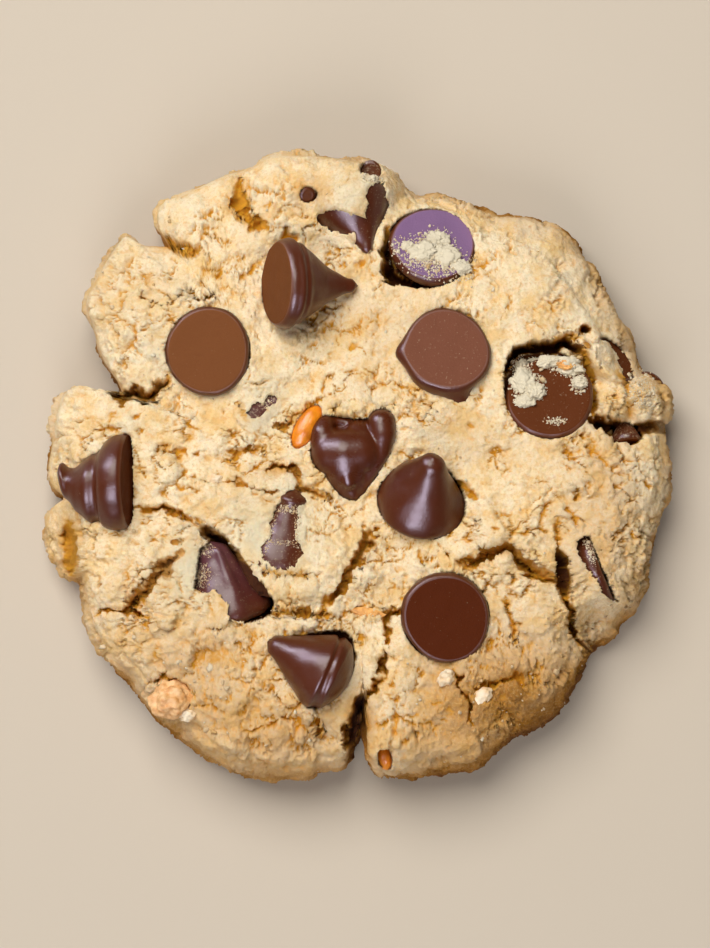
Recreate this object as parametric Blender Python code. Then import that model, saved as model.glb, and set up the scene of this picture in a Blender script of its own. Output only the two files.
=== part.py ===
"""A thick home-baked chocolate chip cookie, modelled in metres with +Z up.

The dough is one solid: a pressed round with a ragged outline, a low dome, sloping sides and the cracks that
opened as it baked. Each chocolate chip is a teardrop of its own, set in a socket in the dough: some lie with
their wide face up, some on their side, one stands, and some are sunk so that only a strip shows. A piece of
peanut and two bits of butterscotch are set in the same way. The origin is the middle of the underside.

Lengths in the tables below are in millimetres, and the builders turn them to metres with MM.
"""

import math
from dataclasses import dataclass

import bmesh
import bpy
import numpy as np
from mathutils import Matrix, Vector, geometry

MM = 0.001

# Driving dimensions of the dough.
BROW_HEIGHT = 10.2  # where the top surface turns down into the side
DOME_RISE = 3.6  # the middle stands this much above the brow
BULGE_HEIGHT = 3.6  # the side is widest here
FOOT_TUCK = 0.9  # how far the underside's edge lies in from the widest line
RING_POINTS = 150  # points round the outline
TOP_GRID = 2.68  # spacing of the top surface's free points
CRACK_STEP = 1.9  # spacing of points along a crack
SOCKET_GAP = 0.3  # clearance between a chip and its socket

# Driving dimensions of a chip.
CHIP_RADIUS = 5.1
CHIP_LENGTH = 9.6
CHIP_SIDES = 12
# Distance from the wide face and radius, each as a share of the chip's length and radius.
TEARDROP = [(0.0, 0.86), (0.06, 1.0), (0.2, 0.96), (0.4, 0.74), (0.62, 0.45), (0.84, 0.2)]

# The widest line of the side, anticlockwise from the right: eight lobes with notches between them.
OUTLINE = [
    (37.1, 0.5), (36.8, 3.5), (36.9, 7.5), (35.6, 11.0), (33.8, 12.4), (33.0, 16.0), (30.7, 20.0),
    (28.2, 23.8), (25.6, 27.2), (22.4, 29.3), (18.0, 30.0), (15.2, 30.9), (11.5, 32.3), (7.2, 33.0),
    (4.6, 34.6), (1.2, 36.5), (-4.0, 37.1), (-9.5, 36.9), (-13.2, 35.6), (-18.0, 33.8), (-22.0, 31.9),
    (-24.1, 29.4), (-22.6, 26.0), (-25.2, 25.9), (-27.7, 27.1), (-30.0, 24.6), (-32.5, 19.7),
    (-31.4, 14.8), (-29.9, 11.2), (-28.1, 7.9), (-31.2, 9.1), (-34.2, 8.9), (-36.3, 5.0), (-37.1, 0.0),
    (-36.6, -2.7), (-34.9, -3.6), (-36.9, -5.2), (-36.8, -9.0), (-35.4, -12.4), (-33.0, -13.2),
    (-32.6, -16.4), (-31.0, -21.0), (-28.2, -25.0), (-24.4, -29.2), (-20.4, -33.0), (-16.0, -35.6),
    (-10.4, -36.9), (-5.5, -36.7), (-2.4, -35.2), (0.2, -28.3), (2.4, -34.9), (4.6, -36.7),
    (9.4, -36.6), (14.5, -35.1), (19.0, -32.2), (23.3, -28.8), (26.2, -24.6), (28.4, -21.2),
    (30.6, -18.8), (32.9, -15.2), (34.4, -10.6), (35.4, -5.6), (36.8, -2.4),
]

# How far the brow lies in from the outline, by direction in degrees from +X.
BROW_INSET = [(-180, 1.0), (-135, 2.4), (-90, 1.9), (-45, 2.6), (0, 2.4), (40, 4.0), (75, 1.6), (100, 0.9), (180, 1.0)]


@dataclass(frozen=True)
class Mound:
    """A smooth rise of the top surface, or a sunken place where height is negative."""

    x: float
    y: float
    across: float
    along: float
    turn: float
    height: float


@dataclass(frozen=True)
class Crack:
    """A V-shaped groove: its floor's points, half its width in the middle, and its depth there."""

    points: tuple
    half_width: float
    depth: float


@dataclass(frozen=True)
class Chip:
    """A teardrop chip: the middle of its wide face, that point's height above the dough, and where its tip points.

    heading is the tip's direction seen from above and pitch its angle above the horizon, both in degrees, so a
    pitch near -90 shows the wide face. curl bends the tip up, as a share of the length.
    """

    name: str
    x: float
    y: float
    rise: float
    heading: float
    pitch: float
    radius: float = CHIP_RADIUS
    length: float = CHIP_LENGTH
    curl: float = 0.0


@dataclass(frozen=True)
class Nugget:
    """An egg-shaped piece: its middle, its height above the dough, its half-axes and its turn in degrees."""

    name: str
    x: float
    y: float
    rise: float
    half_axes: tuple
    turn: float


MOUNDS = [
    Mound(-36.5, -0.5, 3.0, 7.5, 0, -2.4),  # left ledge
    Mound(-36.0, -9.5, 3.0, 4.5, 0, -4.6),  # broken-off corner at lower left
    Mound(10.6, 32.6, 6.6, 2.2, -8, -4.6),  # low strip behind the back chip
    Mound(34.5, 8.0, 3.4, 4.6, 0, -2.0),  # crumbled edge on the right
    Mound(28.6, -18.6, 3.4, 2.0, 20, -4.2),  # open corner at lower right
    Mound(-9.0, 33.0, 6.0, 4.0, 0, 0.9),
    Mound(-20.0, 29.0, 4.0, 3.4, 20, 0.9),
    Mound(-27.0, 15.0, 4.2, 4.6, 0, 0.7),
    Mound(-29.2, -13.6, 3.2, 3.4, 0, 1.2),  # round flake of dough
    Mound(-22.0, -16.0, 4.2, 2.6, 30, 0.8),
    Mound(-7.0, -15.4, 4.0, 1.8, 0, 0.8),
    Mound(-4.5, -9.5, 4.0, 4.0, 0, 0.8),
    Mound(18.5, -7.0, 5.5, 4.0, -15, 0.8),
    Mound(21.0, 22.5, 6.0, 5.0, 0, 0.6),
    Mound(28.4, -9.0, 3.6, 6.0, 15, 0.7),
    Mound(6.0, -31.0, 5.0, 4.0, 0, 0.6),
    Mound(-1.6, 32.0, 2.6, 2.4, 0, 2.2),  # dough lying over the back chip
]

CRACKS = [
    Crack(((-21.6, 26.0), (-20.3, 25.1), (-18.4, 25.3)), 0.8, 2.2),
    Crack(((-14.6, 33.2), (-14.1, 31.4), (-12.9, 28.8), (-10.4, 27.9)), 0.9, 1.5),
    Crack(((-26.2, 20.4), (-24.8, 18.9), (-22.9, 18.5), (-20.3, 20.0), (-18.0, 19.2)), 0.6, 1.3),
    Crack(((-27.4, 8.0), (-25.6, 8.0), (-22.6, 9.6)), 0.9, 3.0),
    Crack(((-24.2, 1.5), (-20.0, 1.4)), 0.6, 1.0),
    Crack(((-15.4, 1.2), (-11.0, 1.6)), 0.6, 1.0),
    Crack(((-17.0, -1.9), (-13.0, -2.4), (-9.8, -3.5)), 0.5, 1.2),
    Crack(((-25.6, -5.2), (-21.8, -5.4), (-18.4, -6.8)), 0.6, 1.6),
    Crack(((-18.4, -7.2), (-15.4, -10.2), (-12.3, -13.8), (-10.0, -17.0)), 1.2, 4.6),
    Crack(((-21.4, -10.7), (-24.4, -13.0), (-27.2, -16.6), (-29.6, -17.2)), 1.1, 3.4),
    Crack(((-10.4, -1.0), (-7.8, -0.7), (-6.2, -3.3), (-3.7, -3.9)), 0.6, 2.2),
    Crack(((-12.6, -12.0), (-9.0, -12.8), (-4.2, -13.5)), 0.6, 1.8),
    Crack(((2.4, -7.6), (0.7, -10.2), (-0.8, -13.4), (-4.6, -17.4), (-9.6, -17.5)), 0.9, 2.8),
    Crack(((2.5, -18.8), (3.3, -20.4), (2.9, -24.8), (0.9, -27.0)), 0.7, 3.0),
    Crack(((11.2, -10.9), (15.0, -10.6), (18.6, -12.1), (23.0, -13.9)), 0.9, 3.2),
    Crack(((23.2, -8.0), (23.8, -11.6), (24.3, -14.4), (25.2, -17.2)), 1.1, 5.0),
    Crack(((16.4, -16.0), (18.0, -18.4), (18.6, -21.4)), 0.6, 1.6),
    Crack(((12.4, -24.6), (13.3, -27.4), (13.2, -30.6)), 0.6, 2.0),
    Crack(((14.2, -26.6), (16.4, -25.6), (19.2, -25.6)), 0.5, 1.4),
    Crack(((17.2, 9.4), (18.6, 13.2), (21.4, 14.2), (24.6, 14.7), (27.2, 16.2)), 1.0, 3.6),
    Crack(((27.2, 5.0), (30.6, 3.2), (34.0, 4.6)), 1.3, 4.6),
    Crack(((3.4, 26.8), (3.6, 23.2), (7.0, 21.2), (11.0, 22.0)), 1.0, 3.8),
    Crack(((-23.2, -25.0), (-21.6, -24.4), (-19.4, -25.8)), 0.5, 1.4),
    Crack(((-18.4, -19.2), (-15.0, -18.8)), 0.5, 1.2),
]

CHIPS = [
    Chip("chip_flat_left", -17.6, 13.1, 0.9, 45, -86),
    Chip("chip_flat_right", 10.4, 13.3, 1.1, -110, -79),
    Chip("chip_flat_back", 8.9, 26.0, -0.4, -112, -64, length=8.6),
    Chip("chip_flat_far_right", 22.5, 7.9, -0.2, -100, -80, length=8.2),
    Chip("chip_flat_front", 10.3, -18.1, 0.8, 115, -80, radius=5.25),
    Chip("chip_lying_back", -9.5, 20.8, 3.2, 0, -24, radius=5.0, length=9.9, curl=0.12),
    Chip("chip_lying_left", -26.8, -1.9, -0.2, 180, -8, radius=5.5, length=8.4, curl=0.12),
    Chip("chip_lying_front", -3.1, -24.6, -0.3, 153, 4, radius=4.8, length=8.4),
    Chip("chip_standing", 7.1, -5.1, -2.4, 73, 52, radius=5.2, length=9.4),
    Chip("chip_sunk_left", -15.1, -17.9, -4.5, 103.5, 14, radius=4.9, length=9.4),
    Chip("chip_sunk_middle", -8.9, -11.8, -3.9, 80, 22, radius=4.6, length=9.6),
    Chip("chip_sunk_back", -0.9, 31.2, -3.6, -72, 20, radius=4.7, length=7.4),
    Chip("chip_sunk_right", 28.7, -12.0, -4.0, 201, -6, radius=4.6, length=7.0),
    Chip("chip_edge_back", 30.2, 12.5, -0.7, 217, -35, radius=3.2, length=3.2),
    Chip("chip_edge_pocket", 31.7, 2.6, -3.0, 95, -12, radius=1.8, length=4.0),
    Chip("chip_edge_right", 34.6, 8.5, -1.7, 184, -64, radius=2.8, length=4.0),
    Chip("chip_veiled", -13.0, 4.6, -3.2, 38, 14, radius=3.4, length=7.0),
    Chip("chip_bit_back", 1.5, 34.6, 0.2, 80, -75, radius=1.35, length=2.2),
    Chip("chip_bit_left", -5.9, 31.6, -0.7, 140, -60, radius=1.0, length=2.0),
]

NUGGETS = [
    Nugget("peanut_piece", -21.9, -27.5, -0.2, (2.5, 2.1, 1.9), 20),
    Nugget("butterscotch_middle", -6.9, 4.1, -0.9, (2.5, 1.0, 1.5), 58),
    Nugget("butterscotch_front", 3.3, -34.1, -1.9, (0.9, 1.5, 1.3), 15),
]

# The swirled chip: four lobes that run together, as (x, y, half-axes), round a middle at SWIRL_RISE.
SWIRL_NAME = "chip_swirl"
SWIRL_RISE = 0.6
SWIRL_LOBES = [
    (-2.7, 2.3, (2.9, 3.2, 3.3)),
    (2.2, 2.9, (2.4, 3.4, 3.1)),
    (-1.2, -1.6, (2.3, 2.8, 2.8)),
    (0.1, 0.7, (2.6, 2.4, 2.9)),
]


def catmull_rom(points, per_span, closed):
    """Points on a smooth curve through the given ones, per_span of them on each span."""
    given = [np.array(p, float) for p in points]
    if closed:
        before, after = [given[-1]], given[:2]
    else:
        before, after = [2 * given[0] - given[1]], [2 * given[-1] - given[-2]]
    run = before + given + after
    curve = []
    for a, b, c, d in zip(run, run[1:], run[2:], run[3:]):
        for t in np.arange(per_span) / per_span:
            curve.append(
                0.5 * (2 * b + (c - a) * t + (2 * a - 5 * b + 4 * c - d) * t**2 + (3 * b - a - 3 * c + d) * t**3)
            )
    if not closed:
        curve.append(given[-1])
    return np.array(curve)


def evenly(curve, count, closed):
    """The curve again, with count points the same distance apart."""
    run = np.vstack([curve, curve[:1]]) if closed else curve
    walked = np.concatenate([[0], np.cumsum(np.linalg.norm(np.diff(run, axis=0), axis=1))])
    stops = np.linspace(0, walked[-1], count, endpoint=not closed)
    return np.column_stack([np.interp(stops, walked, run[:, i]) for i in (0, 1)])


def centred_outline():
    """The outline as evenly spaced points, and the shift that puts the middle of its box at the origin."""
    ring = evenly(catmull_rom(OUTLINE, 8, closed=True), RING_POINTS, closed=True)
    shift = -(ring.max(axis=0) + ring.min(axis=0)) / 2
    return ring, shift


def brow_ring(ring):
    """The line where the top turns down into the side: the outline drawn in towards the middle."""
    headings = np.degrees(np.arctan2(ring[:, 1], ring[:, 0]))
    inset = np.interp(headings, *zip(*BROW_INSET))
    reach = np.linalg.norm(ring, axis=1)
    return ring * (1 - inset / reach)[:, None]


class TopSurface:
    """The height of the dough's top over each point of the plan."""

    def __init__(self, brow):
        heading = np.arctan2(brow[:, 1], brow[:, 0])
        order = np.argsort(heading)
        self.heading, self.reach = heading[order], np.linalg.norm(brow, axis=1)[order]
        self.cracks = [(crack, catmull_rom(crack.points, 6, closed=False)) for crack in CRACKS]

    def share_out(self, x, y):
        """How far out a point lies: 0 in the middle and 1 on the brow."""
        reach = np.interp(np.arctan2(y, x), self.heading, self.reach, period=2 * math.pi)
        return np.hypot(x, y) / reach

    def uncracked(self, x, y):
        """The height of the domed surface with its mounds, before it cracked."""
        out = np.clip(self.share_out(x, y), 0, 1)
        z = BROW_HEIGHT + DOME_RISE * np.sqrt(1 - out**4)
        for m in MOUNDS:
            turn = math.radians(m.turn)
            dx, dy = x - m.x, y - m.y
            u = (dx * math.cos(turn) + dy * math.sin(turn)) / m.across
            v = (dy * math.cos(turn) - dx * math.sin(turn)) / m.along
            z = z + m.height * np.exp(-(u**2 + v**2))
        return z

    def groove(self, x, y):
        """How far the cracks reach down at a point."""
        depth = np.zeros_like(x)
        for crack, line in self.cracks:
            taper = end_taper(len(line))
            for a, b, near, far in zip(line, line[1:], taper, taper[1:]):
                run = b - a
                along = np.clip(((x - a[0]) * run[0] + (y - a[1]) * run[1]) / (run @ run), 0, 1)
                away = np.hypot(x - a[0] - along * run[0], y - a[1] - along * run[1])
                open_here = near + (far - near) * along
                wall = np.clip(1 - away / (crack.half_width * open_here + 1e-6), 0, 1)
                depth = np.maximum(depth, crack.depth * open_here * wall)
        return depth

    def height(self, x, y):
        return self.uncracked(x, y) - self.groove(x, y)


def end_taper(count):
    """A crack's opening along its length: closed at both ends and full over the middle."""
    along = np.linspace(0, 1, count)
    return np.clip(np.minimum(along, 1 - along) * 4, 0, 1) ** 0.7


def crack_lines(crack):
    """The crack's floor and its two rims, which meet at its ends."""
    curve = catmull_rom(crack.points, 6, closed=False)
    length = np.linalg.norm(np.diff(curve, axis=0), axis=1).sum()
    floor = evenly(curve, max(4, round(length / CRACK_STEP) + 1), closed=False)
    ahead = np.gradient(floor, axis=0)
    side = np.column_stack([-ahead[:, 1], ahead[:, 0]]) / np.linalg.norm(ahead, axis=1)[:, None]
    reach = (crack.half_width * end_taper(len(floor)))[1:-1, None]
    left = np.vstack([floor[:1], floor[1:-1] + side[1:-1] * reach, floor[-1:]])
    right = np.vstack([floor[:1], floor[1:-1] - side[1:-1] * reach, floor[-1:]])
    return floor, left, right


def free_points(surface, lines):
    """Staggered rows of points over the top, clear of the brow and of the cracks' lines."""
    row_gap = TOP_GRID * math.sqrt(3) / 2
    rows = math.ceil(40 / row_gap)
    taken = np.vstack(lines)
    points = []
    for row in range(-rows, rows + 1):
        for column in range(-rows, rows + 1):
            point = np.array([(column + 0.5 * (row % 2)) * TOP_GRID, row * row_gap])
            inside = surface.share_out(*point) < 0.955
            if inside and np.hypot(*(taken - point).T).min() > 0.45 * TOP_GRID:
                points.append(point)
    return points


def top_triangles(surface, brow):
    """The top as points in plan and triangles, with edges along every crack. The brow's points come first."""
    lines = [line for crack in CRACKS for line in crack_lines(crack)]
    points = [Vector(p) for p in brow]
    edges = [(i, (i + 1) % len(brow)) for i in range(len(brow))]
    for line in lines:
        first = len(points)
        points += [Vector(p) for p in line]
        edges += [(first + i, first + i + 1) for i in range(len(line) - 1)]
    points += [Vector(p) for p in free_points(surface, lines)]
    plan, _, faces, *_ = geometry.delaunay_2d_cdt(points, edges, [range(len(brow))], 1, 1e-4)
    return np.array([tuple(p) for p in plan]), faces


def new_object(name, mesh, material=None):
    """An object of that mesh in the scene, with one material."""
    made = bpy.data.objects.new(name, mesh)
    bpy.context.scene.collection.objects.link(made)
    if material:
        mesh.materials.append(material)
    return made


def mesh_from(name, build):
    """A mesh filled by build, which gets an empty bmesh."""
    bm = bmesh.new()
    build(bm)
    bmesh.ops.recalc_face_normals(bm, faces=bm.faces)
    mesh = bpy.data.meshes.new(name)
    bm.to_mesh(mesh)
    bm.free()
    return mesh


def dough_mesh(surface, ring, brow, shift):
    """The closed dough: the cracked top, three bands of side, and a flat underside."""

    def build(bm):
        plan, faces = top_triangles(surface, brow)
        heights = surface.height(plan[:, 0], plan[:, 1])
        top = [bm.verts.new(((x + shift[0]) * MM, (y + shift[1]) * MM, z * MM)) for (x, y), z in zip(plan, heights)]
        for face in faces:
            bm.faces.new([top[i] for i in face])
        upper = top[: len(brow)]
        brow_top = heights[: len(brow)]
        reach = np.linalg.norm(ring, axis=1)
        tucked = ring * (1 - FOOT_TUCK / reach)[:, None]
        middle = (brow + 3 * ring) / 4
        bands = [
            (middle, BULGE_HEIGHT + 0.62 * (brow_top - BULGE_HEIGHT)),
            (ring, np.full(len(ring), BULGE_HEIGHT)),
            (tucked, np.zeros(len(ring))),
        ]
        for line, z in bands:
            lower = [
                bm.verts.new(((x + shift[0]) * MM, (y + shift[1]) * MM, h * MM)) for (x, y), h in zip(line, z)
            ]
            for i in range(len(lower)):
                j = (i + 1) % len(lower)
                bm.faces.new([upper[i], lower[i], lower[j], upper[j]])
            upper = lower
        bm.faces.new(upper)

    return mesh_from("dough", build)


def chip_mesh(chip, grow):
    """A turned teardrop along local +Z with its wide face at 0. grow makes it larger all round, for its socket."""

    def build(bm):
        profile = [bm.verts.new((0, 0, -grow * MM))]
        for along, out in TEARDROP:
            profile.append(bm.verts.new(((chip.radius * out + grow) * MM, 0, stretched(along) * MM)))
        profile.append(bm.verts.new((0, 0, (chip.length + grow) * MM)))
        for a, b in zip(profile, profile[1:]):
            bm.edges.new((a, b))
        turn = 2 * math.pi
        bmesh.ops.spin(
            bm, geom=bm.verts[:] + bm.edges[:], axis=(0, 0, 1), cent=(0, 0, 0), angle=turn, steps=CHIP_SIDES
        )
        bmesh.ops.remove_doubles(bm, verts=bm.verts, dist=1e-6)
        for vert in bm.verts:
            share = max(vert.co.z / (chip.length * MM), 0)
            vert.co.x += chip.curl * chip.length * MM * share**2

    def stretched(along):
        return along * (chip.length + 2 * grow) - grow

    return mesh_from(chip.name, build)


def chip_pose(chip, surface, shift):
    """The matrix that puts a chip's wide face and tip where the chip says, with local +X as its upper side."""
    heading, pitch = math.radians(chip.heading), math.radians(chip.pitch)
    level = Vector((math.cos(heading), math.sin(heading), 0))
    axis = level * math.cos(pitch) + Vector((0, 0, 1)) * math.sin(pitch)
    upper = Vector((0, 0, 1)) * math.cos(pitch) - level * math.sin(pitch)
    across = axis.cross(upper)
    turn = Matrix((upper, across, axis)).transposed().to_4x4()
    z = float(surface.uncracked(np.array(chip.x), np.array(chip.y))) + chip.rise
    return Matrix.Translation(((chip.x + shift[0]) * MM, (chip.y + shift[1]) * MM, z * MM)) @ turn


def egg_mesh(name, half_axes, grow):
    """An egg-shaped piece round its own middle."""

    def build(bm):
        bmesh.ops.create_icosphere(bm, subdivisions=2, radius=1)
        bmesh.ops.scale(bm, vec=[(a + grow) * MM for a in half_axes], verts=bm.verts)

    return mesh_from(name, build)


def nugget_pose(nugget, surface, shift):
    z = float(surface.uncracked(np.array(nugget.x), np.array(nugget.y))) + nugget.rise
    place = Matrix.Translation(((nugget.x + shift[0]) * MM, (nugget.y + shift[1]) * MM, z * MM))
    return place @ Matrix.Rotation(math.radians(nugget.turn), 4, "Z")


def add_swirl(name, surface, shift, grow, material=None):
    """The swirled chip as its lobes joined by Boolean unions."""
    z = float(surface.uncracked(np.array(0.0), np.array(1.0))) + SWIRL_RISE
    lobes = []
    for number, (x, y, half_axes) in enumerate(SWIRL_LOBES):
        lobe = new_object(f"{name}_lobe_{number}" if number else name, egg_mesh(name, half_axes, grow), material)
        lobe.location = ((x + shift[0]) * MM, (y + shift[1]) * MM, z * MM)
        lobes.append(lobe)
    for lobe in lobes[1:]:
        hide_cutter(lobe)
        union = lobes[0].modifiers.new("join", "BOOLEAN")
        union.operation = "UNION"
        union.object = lobe
    return lobes[0]


def hide_cutter(obj):
    obj.hide_render = True
    obj.display_type = "WIRE"


def cut(obj, cutter):
    """Takes the cutter's shape out of the object."""
    hide_cutter(cutter)
    modifier = obj.modifiers.new(cutter.name, "BOOLEAN")
    modifier.operation = "DIFFERENCE"
    modifier.object = cutter


def finish(name, colour, roughness):
    """A Principled material: colour is linear RGB."""
    material = bpy.data.materials.new(name)
    material.use_nodes = True
    shader = material.node_tree.nodes["Principled BSDF"]
    shader.inputs["Base Color"].default_value = (*colour, 1)
    shader.inputs["Roughness"].default_value = roughness
    shader.inputs["Metallic"].default_value = 0
    return material


def main():
    for obj in list(bpy.data.objects):
        bpy.data.objects.remove(obj)

    baked_dough = finish("baked_dough", (0.74, 0.50, 0.24), 0.85)
    chocolate = finish("chocolate", (0.085, 0.028, 0.014), 0.35)
    peanut = finish("roast_peanut", (0.72, 0.38, 0.13), 0.6)
    butterscotch = finish("butterscotch", (0.80, 0.30, 0.03), 0.4)

    ring, shift = centred_outline()
    brow = brow_ring(ring)
    surface = TopSurface(brow)
    dough = new_object("dough", dough_mesh(surface, ring, brow, shift), baked_dough)

    for chip in CHIPS:
        pose = chip_pose(chip, surface, shift)
        made = new_object(chip.name, chip_mesh(chip, 0), chocolate)
        made.matrix_world = pose
        made.data.shade_smooth()
        socket = new_object(chip.name + "_socket", chip_mesh(chip, SOCKET_GAP))
        socket.matrix_world = pose
        cut(dough, socket)

    swirl = add_swirl(SWIRL_NAME, surface, shift, 0, chocolate)
    swirl.data.shade_smooth()
    cut(dough, add_swirl(SWIRL_NAME + "_socket", surface, shift, SOCKET_GAP))

    for nugget in NUGGETS:
        material = peanut if nugget.name.startswith("peanut") else butterscotch
        pose = nugget_pose(nugget, surface, shift)
        made = new_object(nugget.name, egg_mesh(nugget.name, nugget.half_axes, 0), material)
        made.matrix_world = pose
        made.data.shade_smooth()
        socket = new_object(nugget.name + "_socket", egg_mesh(nugget.name, nugget.half_axes, SOCKET_GAP))
        socket.matrix_world = pose
        cut(dough, socket)


main()
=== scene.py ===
"""The looks of a chocolate chip cookie: crumbly dough, chips set in it at all angles, crumbs and a studio.

Lengths are in millimetres, and MM turns them to metres as each mesh is written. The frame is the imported
model's own: +Z up, the origin at the middle of the underside.
"""

import logging  # noqa: E402
import math  # noqa: E402
from collections.abc import Iterator  # noqa: E402
from dataclasses import dataclass, replace  # noqa: E402
from enum import Enum  # noqa: E402
from itertools import product  # noqa: E402

import bmesh  # noqa: E402
import bpy  # noqa: E402
import numpy as np  # noqa: E402
from mathutils import Matrix, Vector  # noqa: E402
from mathutils.bvhtree import BVHTree  # noqa: E402

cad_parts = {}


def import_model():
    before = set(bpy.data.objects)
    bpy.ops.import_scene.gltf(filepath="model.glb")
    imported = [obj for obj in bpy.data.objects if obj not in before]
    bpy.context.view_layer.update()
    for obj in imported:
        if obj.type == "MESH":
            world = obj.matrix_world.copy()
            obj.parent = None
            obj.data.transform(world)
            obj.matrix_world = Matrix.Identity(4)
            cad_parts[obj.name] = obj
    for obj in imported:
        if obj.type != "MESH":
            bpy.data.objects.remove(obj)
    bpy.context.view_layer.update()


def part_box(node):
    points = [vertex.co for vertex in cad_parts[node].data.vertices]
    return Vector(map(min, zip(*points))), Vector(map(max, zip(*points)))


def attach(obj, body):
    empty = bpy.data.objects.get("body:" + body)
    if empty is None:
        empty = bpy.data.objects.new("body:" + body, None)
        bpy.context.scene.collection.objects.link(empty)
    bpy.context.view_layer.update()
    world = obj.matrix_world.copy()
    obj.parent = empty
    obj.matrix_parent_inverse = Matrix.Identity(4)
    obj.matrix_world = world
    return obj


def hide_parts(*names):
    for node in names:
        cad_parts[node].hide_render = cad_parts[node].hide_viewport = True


LOG = logging.getLogger("cookie")
MM = 0.001
BODY = "root"
SETTLE = 0.08  # how far the roughened crust sits in front of its solid's middle

Array = np.ndarray
Point = tuple[float, float]


# --------------------------------------
# Noise in space
# --------------------------------------


class Grain:
    """Seeded noise over space. Every cell size is in millimetres."""

    SIDE = 64

    def __init__(self, seed: int) -> None:
        """Fills the lattice that the noise is read from.

        Args:
            seed: the number that fixes the lattice.
        """
        draw = np.random.default_rng(seed)
        shape = (self.SIDE,) * 3
        slopes = draw.normal(size=shape + (3,))
        slopes /= np.linalg.norm(slopes, axis=-1, keepdims=True)
        self.slopes = slopes.astype(np.float32)
        self.seats = draw.random(shape + (3,)).astype(np.float32)
        self.tones = draw.random(shape).astype(np.float32)

    def _at(self, table: Array, cell: Array) -> Array:
        """The table's entries for whole-numbered cells, which repeat every SIDE."""
        wrapped = cell & (self.SIDE - 1)
        return table[wrapped[:, 0], wrapped[:, 1], wrapped[:, 2]]

    def smooth(self, place: Array, cell: float, shift: float = 0.0) -> Array:
        """Gradient noise, about -0.7 to 0.7.

        Args:
            place: points, one a row.
            cell: the size of one swell.
            shift: moves the noise, so that two readings differ.

        Returns:
            One value for each point.
        """
        scaled = (place / cell + shift).astype(np.float32)
        corner = np.floor(scaled).astype(np.int64)
        inside = scaled - corner
        ease = inside * inside * inside * (inside * (inside * 6 - 15) + 10)
        total = np.zeros(len(place), np.float32)
        for far in product((0, 1), repeat=3):
            wx, wy, wz = (ease[:, i] if far[i] else 1 - ease[:, i] for i in range(3))
            slope = self._at(self.slopes, corner + np.array(far))
            total += wx * wy * wz * np.einsum("ij,ij->i", slope, inside - np.array(far, np.float32))
        return total

    def fractal(
        self, place: Array, cell: float, octaves: int, gain: float = 0.5, shift: float = 0.0
    ) -> Array:
        """Smooth noise at halving cell sizes, added up.

        Args:
            place: points, one a row.
            cell: the size of the largest swell.
            octaves: how many sizes.
            gain: each size's strength as a share of the last.
            shift: moves the noise.

        Returns:
            One value for each point, about -1 to 1.
        """
        total = np.zeros(len(place), np.float32)
        strength = 1.0
        for octave in range(octaves):
            total += strength * self.smooth(place, cell / 2**octave, shift + 17.3 * octave)
            strength *= gain
        return total * 1.4

    def clumps(self, place: Array, cell: float, shift: float = 0.0) -> tuple[Array, Array, Array]:
        """Scattered seats, one to a cell.

        Args:
            place: points, one a row.
            cell: the mean distance between seats.
            shift: moves the seats.

        Returns:
            The distances to the nearest seat and to the next, in cells, and the nearest one's tone, 0 to 1.
        """
        scaled = (place / cell + shift).astype(np.float32)
        corner = np.floor(scaled).astype(np.int64)
        near = np.full(len(place), 9.0, np.float32)
        next_near = near.copy()
        tone = np.zeros(len(place), np.float32)
        for step in product((-1, 0, 1), repeat=3):
            seat_cell = corner + np.array(step)
            away = self._at(self.seats, seat_cell) + seat_cell.astype(np.float32) - scaled
            distance = np.sqrt(np.einsum("ij,ij->i", away, away))
            closer = distance < near
            next_near = np.where(closer, near, np.minimum(next_near, distance))
            tone = np.where(closer, self._at(self.tones, seat_cell), tone)
            near = np.where(closer, distance, near)
        return near, next_near, tone


def ramp(value: Array, low: float, high: float) -> Array:
    """Eases from 0 at low to 1 at high."""
    share = np.clip((value - low) / (high - low), 0, 1)
    return share * share * (3 - 2 * share)


def smooth_line(points: list[Point] | tuple, per_span: int, closed: bool = False) -> Array:
    """A smooth curve through points.

    Args:
        points: what the curve passes through.
        per_span: how many points each span gets.
        closed: whether the curve runs back to its start.

    Returns:
        The curve's points, one a row.
    """
    given = [np.array(p, float) for p in points]
    if closed:
        run = [given[-1], *given, given[0], given[1]]
    else:
        run = [2 * given[0] - given[1], *given, 2 * given[-1] - given[-2]]
    curve = []
    for a, b, c, d in zip(run, run[1:], run[2:], run[3:]):
        for t in np.arange(per_span) / per_span:
            square, cube = 2 * a - 5 * b + 4 * c - d, 3 * b - a - 3 * c + d
            curve.append(0.5 * (2 * b + (c - a) * t + square * t**2 + cube * t**3))
    if not closed:
        curve.append(given[-1])
    return np.array(curve)


def mesh_object(name: str, verts: Array, *faces: Array) -> bpy.types.Object:
    """A smooth-shaded mesh object.

    Args:
        name: the piece's name.
        verts: points in millimetres, one a row.
        faces: corner numbers, one array for faces of each count of corners.

    Returns:
        The new object, in the scene.
    """
    mesh = bpy.data.meshes.new(name)
    corners = np.concatenate([f.ravel() for f in faces]).astype(np.int32)
    sizes = np.concatenate([np.full(len(f), f.shape[1]) for f in faces])
    mesh.vertices.add(len(verts))
    mesh.vertices.foreach_set("co", (np.asarray(verts, np.float32) * MM).ravel())
    mesh.loops.add(len(corners))
    mesh.loops.foreach_set("vertex_index", corners)
    mesh.polygons.add(len(sizes))
    mesh.polygons.foreach_set("loop_start", np.concatenate([[0], np.cumsum(sizes)[:-1]]).astype(np.int32))
    mesh.update(calc_edges=True)
    mesh.validate()
    mesh.shade_smooth()
    made = bpy.data.objects.new(name, mesh)
    bpy.context.scene.collection.objects.link(made)
    return made


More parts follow.
